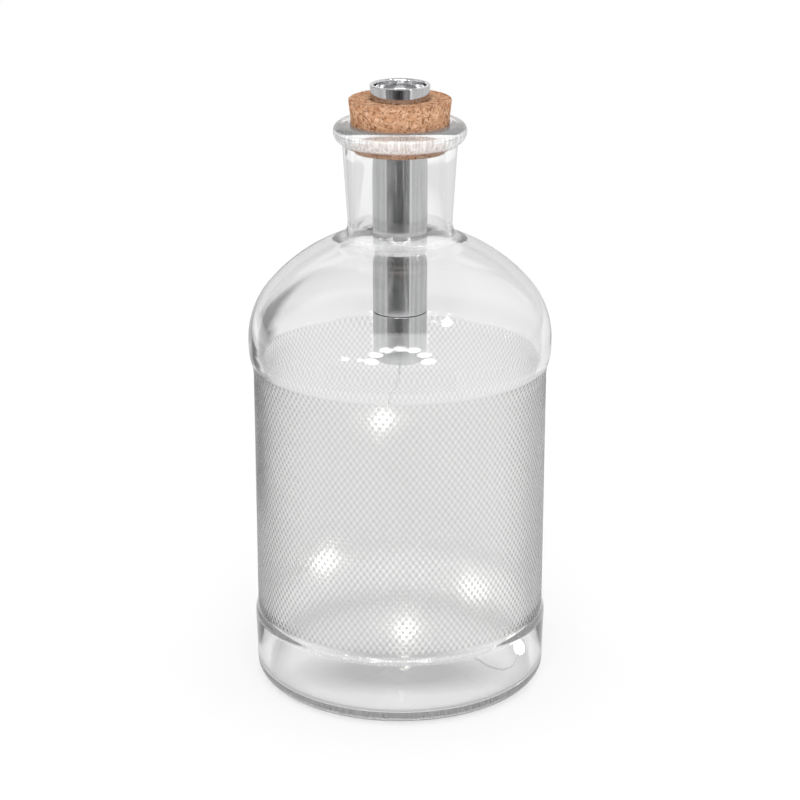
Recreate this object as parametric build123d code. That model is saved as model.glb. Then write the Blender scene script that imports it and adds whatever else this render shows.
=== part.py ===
from build123d import *
import math
import os

# A cork bottle light: a glass bottle, a cork stopper round a slim battery tube, and a light string.
# Millimetres, +Z up, origin on the table at the bottle's axis.

# Bottle, outside, from the foot up
heel_radius = 45.8
heel_draft = 0.45
heel_round = 4.4
heel_height = 20.2
step_height = 2.8
panel_radius = 45.0
panel_height = 75.6
flare_height = 9.0
shoulder_radius = 46.4
shoulder_height = 2.6
shoulder_round = 24.2
dome_rise = 34.5
neck_low_radius = 15.6
neck_high_radius = 17.3
neck_length = 28.14
neck_round = 3.2
lip_radius = 20.05
lip_height = 6.24
lip_round = 2.6
lip_fillet = 0.8

# Bottle, inside and underneath
wall = 2.8
floor_thickness = 2.8
floor_crown = 1.2
base_round = 2.5
foot_width = 6.6
punt_rise = 1.2
mouth_round = 0.8
bore_run = 1.5
bore_round = 2.0

# Cork stopper
cork_height = 15.5
cork_exposed = 7.2
cork_top_radius = 15.55
cork_taper = 6.5
cork_edge = 0.5
cork_countersink = 1.1
stopper_clearance = 0.15

# Battery tube
tube_radius = 8.2
tube_wall = 0.75
tube_recess = 0.1
glue_clearance = 0.05

# Dry cell and its tail spring
cell_clearance = 0.3
cell_length = 50.5
cell_jacket = 0.15
cell_edge = 0.4
nub_radius = 2.7
nub_height = 1.0
spring_height = 4.6
spring_wire = 0.6
spring_turns = 3.25
spring_wide = 4.8
spring_narrow = 2.6
spring_seat = 0.02

# Screw cap, its switch and its button
cap_overhang = 0.9
cap_taper = 0.63
cap_rim_height = 3.85
cap_rim_width = 1.35
cap_collar_height = 0.35
cap_edge = 0.45
cap_recess_depth = 3.3
spigot_length = 8.0
spigot_wall = 0.85
thread_clearance = 0.08
seat_gap = 0.1
o_ring_section = 0.7
o_ring_drop = 1.3
button_ledge = 0.82
button_crown = 0.35
button_proud = 0.1
button_lip = 0.9
button_flange = 0.9
button_clearance = 0.1
button_travel = 1.2
button_spare = 0.35
plunger_radius = 1.8
plunger_length = 3.6
plunger_clearance = 0.08
switch_floor = 0.9
switch_clearance = 0.05
retainer_thickness = 1.0
retainer_hole = 2.0

# End cap with the driver board
end_cap_height = 15.0
end_cap_wall = 0.9
end_cap_floor = 1.2
end_cap_edge = 0.6
end_spigot_length = 3.5
end_spigot_wall = 0.77
end_spigot_gap = 0.4
gasket_thickness = 0.3
gasket_inset = 0.1
board_thickness = 1.0
board_clearance = 0.05
board_ledge_width = 0.5
board_ledge_height = 1.6
contact_radius = 2.0
contact_height = 1.3
contact_crown = 0.3
coil_radius = 2.4
coil_height = 5.0
coil_waist = 0.5
coil_flange = 0.8
chip_side = 2.8
chip_height = 1.1
chip_bearing = 135
capacitor_length = 3.2
capacitor_side = 1.6
capacitor_bearing = 225
component_gap = 0.3

# Grommet and the leads behind it
grommet_radius = 1.6
grommet_flange = 2.4
grommet_flange_height = 0.8
grommet_nose_radius = 2.0
grommet_nose_tip = 0.9
grommet_nose = 1.4
grommet_clearance = 0.03
lead_radius = 0.35
lead_place = (-0.6, 0.9)

# Light string: its route is drawn in a bottle of a given inner radius, between its floor and the exit
string_diameter = 0.7
arc_share = 0.45
drop_length = 5.0
drop_radius = 1.7
die_length = 1.6
die_width = 1.1
die_height = 0.6
led_run_numbers = (2, 9, 15, 18)
route_radius = 42.2
route_floor = 2.8
route = [
    (0.0, 0.0, 101.55),
    (0.0, 0.0, 96.8),
    (-3.4, -0.6, 89.7),
    (-7.4, 0.6, 76.3),
    (-4.8, 3.2, 66.4),
    (2.8, 6.2, 58.6),
    (7.8, 4.6, 48.9),
    (4.6, -1.6, 41.0),
    (-5.0, -4.2, 37.4),
    (-16.2, -2.8, 36.6),
    (-31.0, 2.8, 33.0),
    (-36.4, -4.0, 27.0),
    (-34.6, -12.6, 19.6),
    (-26.5, -15.4, 12.6),
    (-14.6, -12.0, 9.0),
    (-3.8, -5.2, 8.4),
    (7.4, 9.2, 10.8),
    (9.6, 20.2, 13.4),
    (17.6, 29.4, 15.6),
    (31.8, 19.2, 12.2),
    (36.2, 9.6, 9.0),
    (32.6, -0.6, 7.4),
    (23.6, -4.2, 7.5),
    (19.8, -10.2, 7.5),
    (24.2, -13.6, 7.4),
    (27.4, -18.6, 7.3),
    (31.8, -20.6, 7.2),
    (35.2, -17.0, 7.3),
    (36.8, -12.4, 7.7),
    (38.1, -8.2, 8.7),
]

# Heights of the bottle
panel_low = heel_height + step_height
panel_high = panel_low + panel_height
shoulder_low = panel_high + flare_height
dome_base = shoulder_low + shoulder_height
crown_radius = ((shoulder_radius - shoulder_round) ** 2 + dome_rise ** 2 - shoulder_round ** 2) / (
    2 * (dome_rise - shoulder_round)
)
crown_centre = dome_base + dome_rise - crown_radius
neck_base = crown_centre + math.sqrt(crown_radius ** 2 - neck_low_radius ** 2)
lip_low = neck_base + neck_length
lip_top = lip_low + lip_height
lip_widest = lip_top - lip_round

# Heights and radii of the stopper, from the lip down
cork_top = lip_top + cork_exposed
cork_bottom = cork_top - cork_height
cork_slope = math.tan(math.radians(cork_taper))
tube_top = cork_top - tube_recess
tube_bore = tube_radius - tube_wall
cell_radius = tube_bore - cell_clearance
cap_radius = tube_radius + cap_overhang
cap_recess_radius = cap_radius - cap_rim_width
cap_seat = tube_top + seat_gap
cap_flange_low = cap_seat + cap_collar_height
cap_top = cap_flange_low + cap_rim_height
cap_recess_floor = cap_top - cap_recess_depth
spigot_radius = tube_bore - thread_clearance
spigot_bore = spigot_radius - spigot_wall
spigot_low = cap_seat - spigot_length
spring_top = spigot_low - spring_seat - spring_wire / 2
button_radius = spigot_bore - button_ledge
button_flange_top = cap_recess_floor - button_lip - button_clearance
button_low = button_flange_top - button_flange
switch_top = button_low - button_travel - button_spare
retainer_top = spigot_low + retainer_thickness
cell_top = spigot_low - spring_height
cell_low = cell_top - cell_length
cell_shoulder = cell_low + nub_height
board_top = cell_low - contact_height
board_low = board_top - board_thickness
end_spigot_radius = tube_bore - thread_clearance
board_radius = end_spigot_radius - end_spigot_wall - board_clearance
board_room = board_radius - board_ledge_width
end_spigot_top = cell_shoulder - end_spigot_gap
seam_height = end_spigot_top - end_spigot_length
tube_low = seam_height + gasket_thickness
end_cap_low = seam_height - end_cap_height
end_floor_top = end_cap_low + end_cap_floor
grommet_inner_top = end_floor_top + grommet_flange_height
string_exit = end_cap_low - grommet_nose
string_radius = string_diameter / 2


def cork_radius_at(height):
    """Radius of the cork's tapered side at a height."""
    return cork_top_radius - (cork_top - height) * cork_slope


def polar(centre, radius, angle):
    """Point of a circle in the profile plane at an angle in radians."""
    return (centre[0] + radius * math.cos(angle), centre[1] + radius * math.sin(angle))


def bow(outer, inner):
    """Arc from the outer point to the inner point on the axis, level at the axis."""
    reach = outer[0]
    rise = inner[1] - outer[1]
    radius = (reach ** 2 + rise ** 2) / (2 * rise)
    drop = radius - math.copysign(math.sqrt(radius ** 2 - (reach / 2) ** 2), radius)
    return ThreePointArc(outer, (reach / 2, inner[1] - drop), inner)


def ogee(start, end):
    """Two equal arcs between points at different heights, upright at both ends."""
    middle = ((start[0] + end[0]) / 2, (start[1] + end[1]) / 2)
    upright = (0, math.copysign(1, end[1] - start[1]))
    back = (0, -upright[1])
    return [TangentArc(start, middle, tangent=upright), TangentArc(end, middle, tangent=back)]


def turned(face, corners=()):
    """Turns a profile, radius along X and height along Y, about the axis, and rounds named corners."""
    solid = revolve(Plane.XZ * face, Axis.Z)
    for (radius, height), round_radius in corners:
        rims = solid.edges().filter_by(GeomType.CIRCLE)
        rim = rims.sort_by(lambda edge: math.hypot(edge.radius - radius, edge.arc_center.Z - height))[0]
        solid = fillet(rim, round_radius)
    return solid


def turned_points(points, corners=()):
    """Turns a straight-sided profile with some of its corners rounded."""
    return turned(make_face(Polyline(*points, close=True)), corners)


def bottle():
    """Blown glass: foot, heel band, recessed panel, shoulder, dome, neck and lip over an open inside."""
    turn = math.atan2(dome_base - crown_centre, shoulder_radius - shoulder_round)
    shoulder_centre = (shoulder_radius - shoulder_round, dome_base)
    neck_angle = math.acos(neck_low_radius / crown_radius)
    bore_top = cork_radius_at(lip_top) + stopper_clearance
    bore_low_z = cork_bottom - bore_run
    bore_radius = cork_radius_at(bore_low_z) + stopper_clearance
    inner_panel = panel_radius - wall
    inner_angle = math.acos(bore_radius / (crown_radius - wall))

    heel_foot = (heel_radius - heel_draft, heel_round)
    foot_outer = (heel_foot[0] - heel_round, 0)
    foot_inner = (foot_outer[0] - foot_width, 0)
    heel_top = (heel_radius, heel_height)
    panel_foot = (panel_radius, panel_low)
    panel_head = (panel_radius, panel_high)
    shoulder_foot = (shoulder_radius, shoulder_low)
    shoulder_head = (shoulder_radius, dome_base)
    neck_foot = polar((0, crown_centre), crown_radius, neck_angle)
    neck_head = (neck_high_radius, lip_low)
    lip_side = (lip_radius, lip_widest)
    lip_inner = (lip_radius - lip_round, lip_top)
    mouth = (bore_top, lip_top)
    bore_step = (bore_radius, bore_low_z)
    bore_foot = polar((0, crown_centre), crown_radius - wall, inner_angle)
    inner_head = (shoulder_radius - wall, dome_base)
    inner_shoulder = (inner_head[0], shoulder_low)
    inner_flare = (inner_panel, panel_high)
    inner_heel = (inner_panel, floor_thickness + base_round)
    floor_edge = (inner_panel - base_round, floor_thickness)

    def dome(offset, angle, flip):
        """Shoulder arc and crown arc, moved in by an offset, ending at an angle on the crown."""
        low = CenterArc(shoulder_centre, shoulder_round - offset, 0, math.degrees(turn))
        start = math.degrees(turn)
        high = CenterArc((0, crown_centre), crown_radius - offset, start, math.degrees(angle) - start)
        return [high, low] if flip else [low, high]

    edges = [
        bow(foot_inner, (0, punt_rise)),
        Line(foot_inner, foot_outer),
        CenterArc((foot_outer[0], heel_round), heel_round, -90, 90),
        Line(heel_foot, heel_top),
        *ogee(heel_top, panel_foot),
        Line(panel_foot, panel_head),
        *ogee(panel_head, shoulder_foot),
        Line(shoulder_foot, shoulder_head),
        *dome(0, neck_angle, False),
        Line(neck_foot, neck_head),
        TangentArc(lip_side, neck_head, tangent=(0, -1)),
        CenterArc((lip_inner[0], lip_widest), lip_round, 0, 90),
        Polyline(lip_inner, mouth, bore_step, bore_foot),
        *dome(wall, inner_angle, True),
        Line(inner_head, inner_shoulder),
        *ogee(inner_shoulder, inner_flare),
        Line(inner_flare, inner_heel),
        CenterArc((floor_edge[0], inner_heel[1]), base_round, 0, -90),
        bow(floor_edge, (0, floor_thickness + floor_crown)),
        Line((0, floor_thickness + floor_crown), (0, punt_rise)),
    ]
    corners = [
        (neck_foot, neck_round),
        (neck_head, lip_fillet),
        (mouth, mouth_round),
        (bore_foot, bore_round),
    ]
    return turned(make_face(edges), corners)


def cork_stopper():
    """Tapered cork, bored for the tube and countersunk round the cap."""
    bore = tube_radius + glue_clearance
    low_radius = cork_radius_at(cork_bottom)
    points = [
        (bore, cork_bottom),
        (low_radius, cork_bottom),
        (cork_top_radius, cork_top),
        (bore + cork_countersink, cork_top),
        (bore, cork_top - cork_countersink),
    ]
    return turned_points(points, [(points[1], cork_edge), (points[2], cork_edge)])


def battery_tube():
    """Thin metal tube from the cork's top to the seam."""
    points = [(tube_bore, tube_low), (tube_radius, tube_low), (tube_radius, tube_top), (tube_bore, tube_top)]
    return turned_points(points)


def cell_can():
    """Steel can of the dry cell, with its flat negative end up."""
    radius = cell_radius - cell_jacket
    points = [(0, cell_shoulder), (radius, cell_shoulder), (radius, cell_top), (0, cell_top)]
    return turned_points(points, [(points[1], cell_edge), (points[2], cell_edge)])


def cell_sleeve():
    """Plain film sleeve round the can."""
    inner = cell_radius - cell_jacket
    low = cell_shoulder + cell_edge
    high = cell_top - cell_edge
    return turned_points([(inner, low), (cell_radius, low), (cell_radius, high), (inner, high)])


def cell_terminal():
    """Raised positive terminal, facing down."""
    points = [(0, cell_low), (nub_radius, cell_low), (nub_radius, cell_shoulder), (0, cell_shoulder)]
    return turned_points(points, [(points[1], cell_edge)])


def spring_place(turns):
    """Point and direction of the tail spring's wire after some turns, from the cap down to the cell."""
    part = turns / spring_turns
    fall = spring_height - spring_wire - 2 * spring_seat
    radius = spring_wide + (spring_narrow - spring_wide) * part
    angle = 2 * math.pi * turns
    swing = 2 * math.pi * spring_turns
    shrink = spring_narrow - spring_wide
    point = Vector(radius * math.cos(angle), radius * math.sin(angle), spring_top - fall * part)
    heading = Vector(
        shrink * math.cos(angle) - radius * swing * math.sin(angle),
        shrink * math.sin(angle) + radius * swing * math.cos(angle),
        -fall,
    )
    return point, heading.normalized()


def biarc(start, start_way, end, end_way):
    """Two tangent arcs between two points with given directions."""
    chord = end - start
    ways = start_way + end_way
    bend = 2 * (1 - start_way.dot(end_way))
    along = chord.dot(ways)
    reach = (-along + math.sqrt(along ** 2 + bend * chord.dot(chord))) / bend
    first = start + start_way * reach
    second = end - end_way * reach
    middle = (first + second) * 0.5
    return [
        TangentArc(start, middle, tangent=start_way),
        TangentArc(middle, end, tangent=(second - first).normalized()),
    ]


def tail_spring():
    """Conical spring wound from quarter turns, between the cap's switch and the cell."""
    quarters = round(spring_turns * 4)
    stops = [spring_place(spring_turns * step / quarters) for step in range(quarters + 1)]
    arcs = []
    for before, after in zip(stops, stops[1:]):
        arcs += biarc(*before, *after)
    path = Wire(arcs)
    section = Plane(stops[0][0], z_dir=stops[0][1]) * Circle(spring_wire / 2)
    coil = sweep(section, path=path)
    finer = [spring_place(spring_turns * step / 200)[0] for step in range(201)]
    away = round(200 / spring_turns / 2)
    gaps = [(a - b).length for i, a in enumerate(finer) for b in finer[i + away:]]
    print(f"tail spring: least gap between turns {min(gaps) - spring_wire:.2f} mm")
    return coil


def top_cap():
    """Turned cap: dished rim above the cork, collar on the tube's end and a spigot down the tube."""
    lip_bore = button_radius + button_clearance
    lip_low_z = cap_recess_floor - button_lip
    groove_radius = spigot_radius - o_ring_section
    groove_top = cap_seat - o_ring_drop
    groove_low = groove_top - o_ring_section
    points = [
        (spigot_bore, spigot_low),
        (spigot_radius, spigot_low),
        (spigot_radius, groove_low),
        (groove_radius, groove_low),
        (groove_radius, groove_top),
        (spigot_radius, groove_top),
        (spigot_radius, cap_seat),
        (tube_radius, cap_seat),
        (tube_radius, cap_flange_low),
        (cap_radius - cap_taper, cap_flange_low),
        (cap_radius, cap_top),
        (cap_recess_radius, cap_top),
        (cap_recess_radius, cap_recess_floor),
        (lip_bore, cap_recess_floor),
        (lip_bore, lip_low_z),
        (spigot_bore, lip_low_z),
    ]
    corners = [
        ((cap_radius, cap_top), cap_edge),
        ((cap_recess_radius, cap_top), cap_edge),
        ((cap_recess_radius, cap_recess_floor), cap_edge),
    ]
    return turned_points(points, corners)


def cap_o_ring():
    """Rubber ring in the spigot's groove."""
    centre = cap_seat - o_ring_drop - o_ring_section / 2
    ring = Pos(spigot_radius - o_ring_section / 2, centre) * Circle(o_ring_section / 2)
    return turned(ring)


def button():
    """Domed push button, held up by its flange under the cap's lip."""
    flange = spigot_bore - button_clearance
    edge = cap_recess_floor + button_proud
    profile = make_face(
        [
            Polyline(
                (0, button_low),
                (flange, button_low),
                (flange, button_flange_top),
                (button_radius, button_flange_top),
                (button_radius, edge),
            ),
            bow((button_radius, edge), (0, edge + button_crown)),
            Line((0, edge + button_crown), (0, button_low)),
        ]
    )
    return turned(profile)


def switch_plunger():
    """Round plunger under the button."""
    low = button_low - plunger_length
    points = [(0, low), (plunger_radius, low), (plunger_radius, button_low), (0, button_low)]
    return turned_points(points)


def switch_housing():
    """Moulded switch block in the spigot, bored for the plunger."""
    outer = spigot_bore - switch_clearance
    bore = plunger_radius + plunger_clearance
    floor = retainer_top + switch_floor
    points = [
        (0, retainer_top),
        (outer, retainer_top),
        (outer, switch_top),
        (bore, switch_top),
        (bore, floor),
        (0, floor),
    ]
    return turned_points(points)


def switch_retainer():
    """Brass ring that holds the switch in the spigot and carries the spring."""
    outer = spigot_bore - switch_clearance
    points = [
        (retainer_hole, spigot_low),
        (outer, spigot_low),
        (outer, retainer_top),
        (retainer_hole, retainer_top),
    ]
    return turned_points(points)


def end_cap():
    """Turned cup that screws into the tube, with a ledge for the driver board."""
    pocket = board_radius + board_clearance
    ledge_low = board_low - board_ledge_height
    cavity = tube_radius - end_cap_wall
    hole = grommet_radius + grommet_clearance
    points = [
        (hole, end_cap_low),
        (tube_radius, end_cap_low),
        (tube_radius, seam_height),
        (end_spigot_radius, seam_height),
        (end_spigot_radius, end_spigot_top),
        (pocket, end_spigot_top),
        (pocket, board_low),
        (board_room, board_low),
        (board_room, ledge_low),
        (cavity, ledge_low),
        (cavity, end_floor_top),
        (hole, end_floor_top),
    ]
    return turned_points(points, [((tube_radius, end_cap_low), end_cap_edge)])


def seam_gasket():
    """Thin dark washer in the seam between the tube and the end cap."""
    inner = tube_bore
    outer = tube_radius - gasket_inset
    return turned_points([(inner, seam_height), (outer, seam_height), (outer, tube_low), (inner, tube_low)])


def driver_board():
    """Round circuit board on the end cap's ledge."""
    points = [(0, board_low), (board_radius, board_low), (board_radius, board_top), (0, board_top)]
    return turned_points(points)


def positive_contact():
    """Brass contact between the board and the cell's terminal."""
    points = [(0, board_top), (contact_radius, board_top), (contact_radius, cell_low), (0, cell_low)]
    return turned_points(points, [(points[2], contact_crown)])


def driver_coil():
    """Bobbin-wound coil under the board."""
    waist = coil_radius - coil_waist
    low = board_low - coil_height
    points = [
        (0, low),
        (coil_radius, low),
        (coil_radius, low + coil_flange),
        (waist, low + coil_flange),
        (waist, board_low - coil_flange),
        (coil_radius, board_low - coil_flange),
        (coil_radius, board_low),
        (0, board_low),
    ]
    return Pos(board_room - coil_radius - component_gap, 0, 0) * turned_points(points)


def under_board(length, width, height, bearing):
    """Block under the board, out at a bearing as far as the end cap's ledge lets it."""
    reach = board_room - math.hypot(length, width) / 2 - component_gap
    place = polar((0, 0), reach, math.radians(bearing))
    return Pos(*place, board_low - height / 2) * Box(length, width, height)


def driver_chip():
    """Control chip under the board."""
    return under_board(chip_side, chip_side, chip_height, chip_bearing)


def driver_capacitor():
    """Chip capacitor under the board."""
    return under_board(capacitor_length, capacitor_side, capacitor_side, capacitor_bearing)


def wire_grommet():
    """Moulded strain relief in the end cap's floor, tapering to the string."""
    points = [
        (0, string_exit),
        (grommet_nose_tip, string_exit),
        (grommet_nose_radius, end_cap_low),
        (grommet_radius, end_cap_low),
        (grommet_radius, end_floor_top),
        (grommet_flange, end_floor_top),
        (grommet_flange, grommet_inner_top),
        (0, grommet_inner_top),
    ]
    return turned_points(points)


def board_leads():
    """Pair of leads from the board down to the grommet."""
    length = board_low - grommet_inner_top
    middle = grommet_inner_top + length / 2
    x, y = lead_place
    lead = Cylinder(lead_radius, length)
    return Compound(children=[Pos(x, y, middle) * lead, Pos(x, -y, middle) * lead])


def string_points():
    """The route's points, fitted between the bottle's walls, its floor and the grommet's tip."""
    spread = (panel_radius - wall) / route_radius
    stretch = (string_exit - floor_thickness) / (route[0][2] - route_floor)
    return [
        Vector(x * spread, y * spread, floor_thickness + (z - route_floor) * stretch)
        for x, y, z in route
    ]


def string_wire():
    """Twin light wire as one tube: straight runs joined by the largest tangent arcs they allow."""
    points = string_points()
    runs = [after - before for before, after in zip(points, points[1:])]
    turns = [math.radians(before.get_angle(after)) for before, after in zip(runs, runs[1:])]
    shorter = [min(before.length, after.length) for before, after in zip(runs, runs[1:])]
    radii = [arc_share * run / math.tan(turn / 2) for run, turn in zip(shorter, turns)]
    path = FilletPolyline(*points, radius=radii)
    tube = sweep(Plane(points[0], z_dir=runs[0]) * Circle(string_radius), path=path)
    expected = math.pi * string_radius ** 2 * path.length
    print("string radii:", " ".join(f"{radius:.1f}" for radius in radii))
    print(f"string length {path.length:.1f} mm, volume {tube.volume:.2f}, section by length {expected:.2f}")
    return tube


def led_planes():
    """A plane at each light: X along the wire, origin at the light's middle."""
    points = string_points()
    places = []
    for run in led_run_numbers:
        places.append(((points[run] + points[run + 1]) * 0.5, points[run + 1] - points[run]))
    places.append((points[-1], points[-1] - points[-2]))
    planes = []
    for middle, along in places:
        way = along.normalized()
        upward = Vector(0, -1, 0) if abs(way.Z) > abs(way.X) + abs(way.Y) else Vector(0, 0, 1)
        planes.append(Plane(middle, x_dir=way, z_dir=upward - way * upward.dot(way)))
    return planes


def led_die_block():
    """Block of a light's chip, saddled on the wire."""
    height = string_radius + die_height
    return Pos(0, 0, height / 2) * Box(die_length, die_width, height)


def led_die(last):
    """Light-emitting chip on the wire, in its own plane."""
    reach = 0 if last else die_length
    wire = Pos((reach - die_length) / 2, 0, 0) * Rot(0, 90, 0) * Cylinder(string_radius, die_length + reach)
    return led_die_block() - wire


def led_drop(last):
    """Clear resin drop cast round the wire and the chip, in its own plane."""
    half = drop_length / 2
    straight = half - math.sqrt(drop_radius ** 2 - string_radius ** 2)
    lean = math.degrees(math.asin(string_radius / drop_radius))
    back = (-half, string_radius)
    skin = [
        CenterArc((-straight, 0), drop_radius, 180 - lean, lean - 90),
        Line((-straight, drop_radius), (straight, drop_radius)),
    ]
    if last:
        skin.append(CenterArc((straight, 0), drop_radius, 90, -90))
        skin.append(Polyline((straight + drop_radius, 0), (0, 0), (0, string_radius), back))
    else:
        skin.append(CenterArc((straight, 0), drop_radius, 90, lean - 90))
        skin.append(Line((half, string_radius), back))
    return revolve(make_face(skin), Axis.X) - led_die_block()


def build():
    """All solids by name."""
    solids = {
        "bottle": bottle(),
        "cork_stopper": cork_stopper(),
        "battery_tube": battery_tube(),
        "cell_can": cell_can(),
        "cell_sleeve": cell_sleeve(),
        "cell_terminal": cell_terminal(),
        "tail_spring": tail_spring(),
        "top_cap": top_cap(),
        "cap_o_ring": cap_o_ring(),
        "button": button(),
        "switch_plunger": switch_plunger(),
        "switch_housing": switch_housing(),
        "switch_retainer": switch_retainer(),
        "end_cap": end_cap(),
        "seam_gasket": seam_gasket(),
        "driver_board": driver_board(),
        "positive_contact": positive_contact(),
        "driver_coil": driver_coil(),
        "driver_chip": driver_chip(),
        "driver_capacitor": driver_capacitor(),
        "wire_grommet": wire_grommet(),
        "board_leads": board_leads(),
        "string_wire": string_wire(),
    }
    planes = led_planes()
    for number, plane in enumerate(planes, start=1):
        last = number == len(planes)
        solids[f"led_drop_{number}"] = plane * led_drop(last)
        solids[f"led_die_{number}"] = plane * led_die(last)
    return solids


os.makedirs("parts", exist_ok=True)
for name, solid in build().items():
    export_step(solid, f"parts/{name}.step")
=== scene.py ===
"""Cork bottle light: knurled bottle, cork stopper with a polished tube, and a light string."""

import logging
import math
from dataclasses import dataclass, field
from enum import Enum
from functools import reduce
from typing import Iterable, Optional, Sequence, Union

import bmesh
import bpy
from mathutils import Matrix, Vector


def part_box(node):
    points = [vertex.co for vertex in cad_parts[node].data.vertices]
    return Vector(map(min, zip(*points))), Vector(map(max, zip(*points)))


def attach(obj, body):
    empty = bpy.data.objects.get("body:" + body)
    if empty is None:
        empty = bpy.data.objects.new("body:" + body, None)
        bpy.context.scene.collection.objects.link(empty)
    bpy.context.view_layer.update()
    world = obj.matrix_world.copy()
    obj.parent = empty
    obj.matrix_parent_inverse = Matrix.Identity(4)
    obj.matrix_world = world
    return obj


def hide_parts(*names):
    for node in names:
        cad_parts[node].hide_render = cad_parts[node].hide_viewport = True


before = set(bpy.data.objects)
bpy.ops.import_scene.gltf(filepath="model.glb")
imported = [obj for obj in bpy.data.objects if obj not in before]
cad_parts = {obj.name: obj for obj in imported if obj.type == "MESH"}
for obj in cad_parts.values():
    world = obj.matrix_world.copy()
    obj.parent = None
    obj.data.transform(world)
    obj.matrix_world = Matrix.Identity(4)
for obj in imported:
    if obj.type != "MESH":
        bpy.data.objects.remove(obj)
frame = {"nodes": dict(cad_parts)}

LOG = logging.getLogger("bottle_light")
MM = 0.001
NEAR_ZERO = 1e-6
NOISE_SPAN = (0.3, 0.7)
LEVEL = (1.0, 1.0, 0.0)
ORIGIN = (0.0, 0.0, 0.0)

Point = tuple[float, float]
Triple = tuple[float, float, float]
Ring = list[bmesh.types.BMVert]
Piece = bpy.types.Object
Material = bpy.types.Material
Socket = bpy.types.NodeSocket
Value = Union[Socket, float]
Spot = Union[Socket, Triple]
Shade = Union[Socket, float, Triple]


class Body(Enum):
    """Moving bodies that carry the scene's own pieces."""

    BOTTLE = "bottle"
    STOPPER = "stopper"
    CAP = "top_cap"


class Input(Enum):
    """Kinds of input that a geometry tree can have."""

    FLOAT = "NodeSocketFloat"
    COUNT = "NodeSocketInt"
    MATERIAL = "NodeSocketMaterial"
    OBJECT = "NodeSocketObject"


class Lamp(Enum):
    """Kinds of soft light: a box that lights the object, and others that only shine back."""

    BOX = "RECTANGLE"
    ROUND = "ELLIPSE"
    PANE = "SQUARE"


# Outlines and turned meshes


@dataclass
class Outline:
    """Profile of a turned piece: points of radius and height in millimetres, some rounded."""

    stations: list[tuple[Point, float]] = field(default_factory=list)

    def to(self, radius: float, height: float, reach: float = 0.0) -> "Outline":
        """Adds a point, where reach is how far along both sides a corner's rounding goes, or 0."""
        self.stations.append(((radius, height), reach))
        return self

    def run(self, radius: float, height: float, steps: int, reach: float = 0.0) -> "Outline":
        """Adds evenly spaced points from the last one to an end.

        Args:
            radius: Radius of the end.
            height: Height of the end.
            steps: Number of spans.
            reach: Rounding of the end, as in to.

        Returns:
            The outline itself.
        """
        (near, low), _ = self.stations[-1]
        for step in range(1, steps):
            self.to(near + (radius - near) * step / steps, low + (height - low) * step / steps)
        return self.to(radius, height, reach)

    def arc(self, centre: Point, radius: float, start: float, end: float, steps: int) -> "Outline":
        """Adds the points of an arc.

        Args:
            centre: Centre of the arc.
            radius: Radius of the arc.
            start: Angle of its first point in degrees.
            end: Angle of its last point in degrees.
            steps: Number of spans.

        Returns:
            The outline itself.
        """
        for step in range(steps + 1):
            angle = math.radians(start + (end - start) * step / steps)
            self.to(centre[0] + radius * math.cos(angle), centre[1] + radius * math.sin(angle))
        return self

    def path(self, points: Iterable[Point]) -> "Outline":
        """Adds plain points."""
        self.stations.extend((point, 0.0) for point in points)
        return self

    def bow(self, end: Point, steps: int) -> "Outline":
        """Adds a shallow bow from the last point to an end, level at the one on the axis.

        Args:
            end: Last point of the bow.
            steps: Number of spans.

        Returns:
            The outline itself.
        """
        start, _ = self.stations[-1]
        rim, crown = (end, start) if start[0] < end[0] else (start, end)
        for step in range(1, steps + 1):
            radius = start[0] + (end[0] - start[0]) * step / steps
            self.to(radius, crown[1] + (rim[1] - crown[1]) * (radius / rim[0]) ** 2)
        return self

    def points(self, steps: int = 6) -> list[Point]:
        """Works out the profile with its corners rounded.

        Args:
            steps: Spans in a rounded corner.

        Returns:
            Points of radius and height in millimetres.
        """
        plain = [Vector(point) for point, _ in self.stations]
        lengths = [0.0]
        for before, after in zip(plain, plain[1:]):
            lengths.append(lengths[-1] + (after - before).length)
        result: list[Vector] = []
        free_from = -1.0
        for index, (corner, (_, reach)) in enumerate(zip(plain, self.stations)):
            if reach:
                first = self._along(plain, lengths, lengths[index] - reach)
                last = self._along(plain, lengths, lengths[index] + reach)
                while len(result) > 1 and (result[-1] - corner).length < reach:
                    result.pop()
                for step in range(steps + 1):
                    share = step / steps
                    result.append(first.lerp(corner, share).lerp(corner.lerp(last, share), share))
                free_from = lengths[index] + reach
            elif lengths[index] > free_from + NEAR_ZERO:
                result.append(corner)
        return [(spot.x, spot.y) for spot in result]

    @staticmethod
    def _along(plain: Sequence[Vector], lengths: Sequence[float], place: float) -> Vector:
        """Finds the point at a length along the plain profile.

        Args:
            plain: Points of the profile.
            lengths: Length along the profile at each point.
            place: Length to look for.

        Returns:
            The point there.
        """
        for index in range(1, len(plain)):
            if place <= lengths[index]:
                span = lengths[index] - lengths[index - 1]
                return plain[index - 1].lerp(plain[index], (place - lengths[index - 1]) / span)
        return plain[-1].copy()


@dataclass(frozen=True)
class FineBand:
    """Outside band of a turned piece with more columns: heights in millimetres and ring size."""

    low: float
    high: float
    columns: int
    outside: float = 0.95

    def holds(self, radius: float, height: float, widest: float) -> bool:
        """Says whether a profile's point lies on the band."""
        return self.low <= height <= self.high and radius > self.outside * widest


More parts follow.
